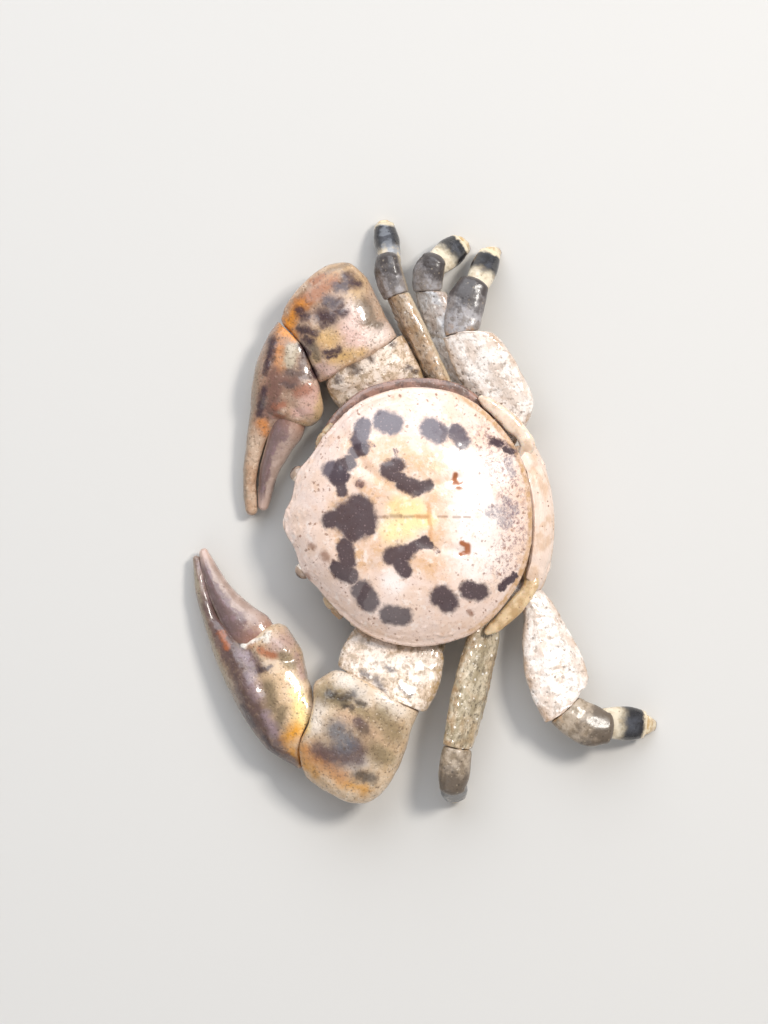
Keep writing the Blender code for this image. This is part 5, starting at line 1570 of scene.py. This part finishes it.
for side, word in ((1, "left"), (-1, "right")):
    flap = body(plate([
        (side * 0.25, -2.9, side * 2.2, -3.7, 1.5, 0.5, 0.35),
        (side * 0.25, -4.2, side * 3.0, -4.6, 1.4, 0.85, 0.45),
        (side * 0.3, -5.4, side * 2.8, -5.6, 1.45, 0.9, 0.4),
        (side * 0.5, -6.3, side * 1.7, -6.3, 1.65, 0.6, 0.3)]), rings=60, around=48, cap=0.25)
    fold = np.exp(-((flap["run"] - 0.5) / 0.03) ** 2)
    swell(flap, -0.08 * fold)
    weather(flap, 0.02, 1.4, 6)
    finish_body(f"mouth_flap_{word}", flap, MOUTH_FINISH, "under_shell",
                [f"mouth_leg_{word}"])
    bends = np.array([(side * 2.4, -5.1, 1.6), (side * 2.5, -6.05, 1.6),
                      (side * 1.75, -6.6, 1.6), (side * 0.6, -6.65, 1.5)])
    palp = body(limb(bends, (0.6, 0.62, 0.5, 0.25), (0.55, 0.55, 0.45, 0.25)), rings=60,
                around=24, cap=0.25)
    weather(palp, 0.015, 1.8, 7)
    finish_body(f"mouth_palp_{word}", palp, MOUTH_FINISH, "under_shell")
    for number in range(FRINGE_HAIRS):
        share = number / (FRINGE_HAIRS - 1)
        root = bends[2] + (bends[3] - bends[2]) * share
        tip = root + np.array((-side * 0.25, 0.1 - 0.2 * share, -0.75 + 0.2 * share))
        hair = body(limb([root, root * 0.5 + tip * 0.5 + (0, -0.1, 0), tip],
                         (0.09, 0.06, 0.03), (0.09, 0.06, 0.03)), rings=12, around=6, cap=0.3)
        finish_body(f"mouth_hair_{word}_{number + 1}", hair, MOUTH_FINISH, "under_shell")

# %% [markdown]
# ## Pieces: eyes, feelers and hind limbs
# The eyes are short stalks with a dark lens that peep out under the front margin. Beside each
# is the thick root of a long feeler, which is folded back along the margin. The small inner
# feelers lie between the eyes. The last pair of legs is thin, folded along the rear margin,
# and used for cleaning.

# %% Shape the head's small parts
def segments(shape, count, depth):
    """Shallow rings that divide a thin limb into small joints."""
    phase = shape["run"] * count * math.pi
    swell(shape, -depth * np.exp(-(np.sin(phase) / 0.25) ** 2))


# Each part's name, the solid it stands for, its finish, slot, line on the left side, breadths,
# thicknesses, and its rings, points round it and cap.
HEAD_PARTS = [
    ("eye_{}_stalk", "eye_{}", EYE_FINISH, "eye",
     [(1.7, -5.3, 3.0), (2.3, -5.95, 3.05), (2.85, -6.55, 3.1)],
     (0.7, 0.95, 1.0), (0.7, 0.9, 0.95), (48, 48, 0.45)),
    ("inner_feeler_{}", "antennule_{}", FEELER_FINISH, "feeler",
     [(0.75, -5.6, 2.6), (0.7, -6.4, 2.65), (0.6, -7.05, 2.6)],
     (0.7, 0.65, 0.5), (0.7, 0.65, 0.5), (48, 32, 0.2)),
    ("feeler_root_{}", "antenna_base_{}", FEELER_FINISH, "feeler",
     [(3.7, -5.1, 2.75), (4.7, -4.95, 2.85), (5.55, -4.35, 2.9)],
     (0.95, 0.9, 0.7), (0.9, 0.85, 0.7), (60, 40, 0.2)),
]
JOINT_RINGS = {"inner_feeler_{}": 0.05, "feeler_root_{}": 0.07}      # their depth, mm
EYE_RIM = 0.66                   # where the eye begins, as a share of the stalk
WHIP_START = (5.95, -3.75, 2.95)
WHIP_PLACES = (-2.9, -1.7, -0.4, 0.9, 2.2, 3.3, 4.2)
WHIP_INSET, WHIP_LEVEL = 0.42, 2.9                   # mm inside the margin, mm up
whip_outline = margin(120)
for side, word in ((1, "left"), (-1, "right")):
    for name, solid, finish, slot, line, breadths, thicknesses, fineness in HEAD_PARTS:
        part = body(limb(np.array(line) * (side, 1, 1), breadths, thicknesses), *fineness)
        if name in JOINT_RINGS:
            segments(part, 3, JOINT_RINGS[name])
        else:
            swell(part, -0.06 * np.exp(-((part["run"] - EYE_RIM) / 0.04) ** 2))
        finish_body(name.format(word), part, finish, slot, [solid.format(word)])
    line = [WHIP_START]
    for y in WHIP_PLACES:
        cost = (whip_outline[:, 1] - y) ** 2 + np.where(whip_outline[:, 0] > 0, 0, 99)
        line.append((whip_outline[np.argmin(cost)][0] - WHIP_INSET, y, WHIP_LEVEL))
    thick = np.linspace(0.5, 0.3, len(line))
    whip = body(limb(np.array(line) * (side, 1, 1), thick, thick), rings=260, around=16,
                cap=0.15)
    segments(whip, 46, 0.03)
    finish_body(f"feeler_whip_{word}", whip, FEELER_FINISH, "feeler", [f"antenna_{word}"])

# The thin hind limbs, from the root to the tip of the small pincer.
CLEANERS = {
    "right": [(-2.6, 6.1, 2.75), (-3.9, 6.95, 3.1), (-5.2, 6.05, 3.3), (-6.15, 5.1, 3.35),
              (-6.75, 4.35, 3.35)],
    "left": [(2.6, 6.1, 2.75), (4.1, 6.8, 3.05), (5.45, 5.85, 3.15), (6.45, 4.8, 3.15),
             (6.95, 4.05, 3.1)],
}
for word, places in CLEANERS.items():
    thin = body(limb(places[:4], (0.6, 0.9, 1.0, 0.8), (0.5, 0.5, 0.5, 0.5)), rings=110,
                around=40, cap=0.2)
    segments(thin, 2, 0.03)
    weather(thin, 0.02, 1.7, 8)
    finish_body(f"cleaning_leg_{word}_limb", thin, HIND_FINISHES[word], "feeler",
                [f"cleaning_leg_{word}"])
    start, end = np.array(places[3]), np.array(places[4])
    pincer = body(limb([start, (start + end) / 2, end], (0.8, 0.75, 0.4), (0.5, 0.55, 0.4)),
                  rings=50, around=32, cap=0.15)
    finish_body(f"cleaning_hand_{word}_pincer", pincer, HIND_FINISHES[word], "feeler",
                [f"cleaning_hand_{word}"])
print("head and hind limbs made,", len(PIECES), "pieces so far")

# %% [markdown]
# ## The stage, the lights and the closing lines

# %% Floor and light
FLOOR_SIZE = 0.6                 # metres
bpy.ops.mesh.primitive_plane_add(size=FLOOR_SIZE)
floor = bpy.context.object
floor.name = "floor"
pale = bpy.data.materials.new("pale floor")
pale.use_nodes = True
ground = pale.node_tree.nodes["Principled BSDF"]
ground.inputs["Base Color"].default_value = paint(205, 202, 198)
ground.inputs["Roughness"].default_value = 0.9
floor.data.materials.append(pale)


def lamp(name, place, size, power, tint):
    """A square soft light that looks at the crab."""
    light = bpy.data.lights.new(name, "AREA")
    light.size = size
    light.energy = power
    light.color = tint
    made = bpy.data.objects.new(name, light)
    bpy.context.collection.objects.link(made)
    made.location = place
    made.rotation_euler = (-Vector(place)).to_track_quat("-Z", "Y").to_euler()


# Place in metres, size in metres, power in watts and tint.
lamp("key light", (-0.10, 0.16, 0.26), 0.07, 0.75, (1.0, 0.96, 0.9))
lamp("sky light", (-0.24, -0.05, 0.21), 0.34, 1.0, (0.86, 0.92, 1.0))
lamp("fill light", (0.26, -0.10, 0.2), 0.25, 0.2, (1.0, 0.97, 0.94))
world = bpy.data.worlds.new("soft light")
world.use_nodes = True
world.node_tree.nodes["Background"].inputs["Color"].default_value = (0.9, 0.94, 1.0, 1.0)
world.node_tree.nodes["Background"].inputs["Strength"].default_value = 0.35
bpy.context.scene.world = world
bpy.context.scene.view_settings.view_transform = "Standard"

# %% Print the count of pieces
print("pieces made:", len(PIECES))
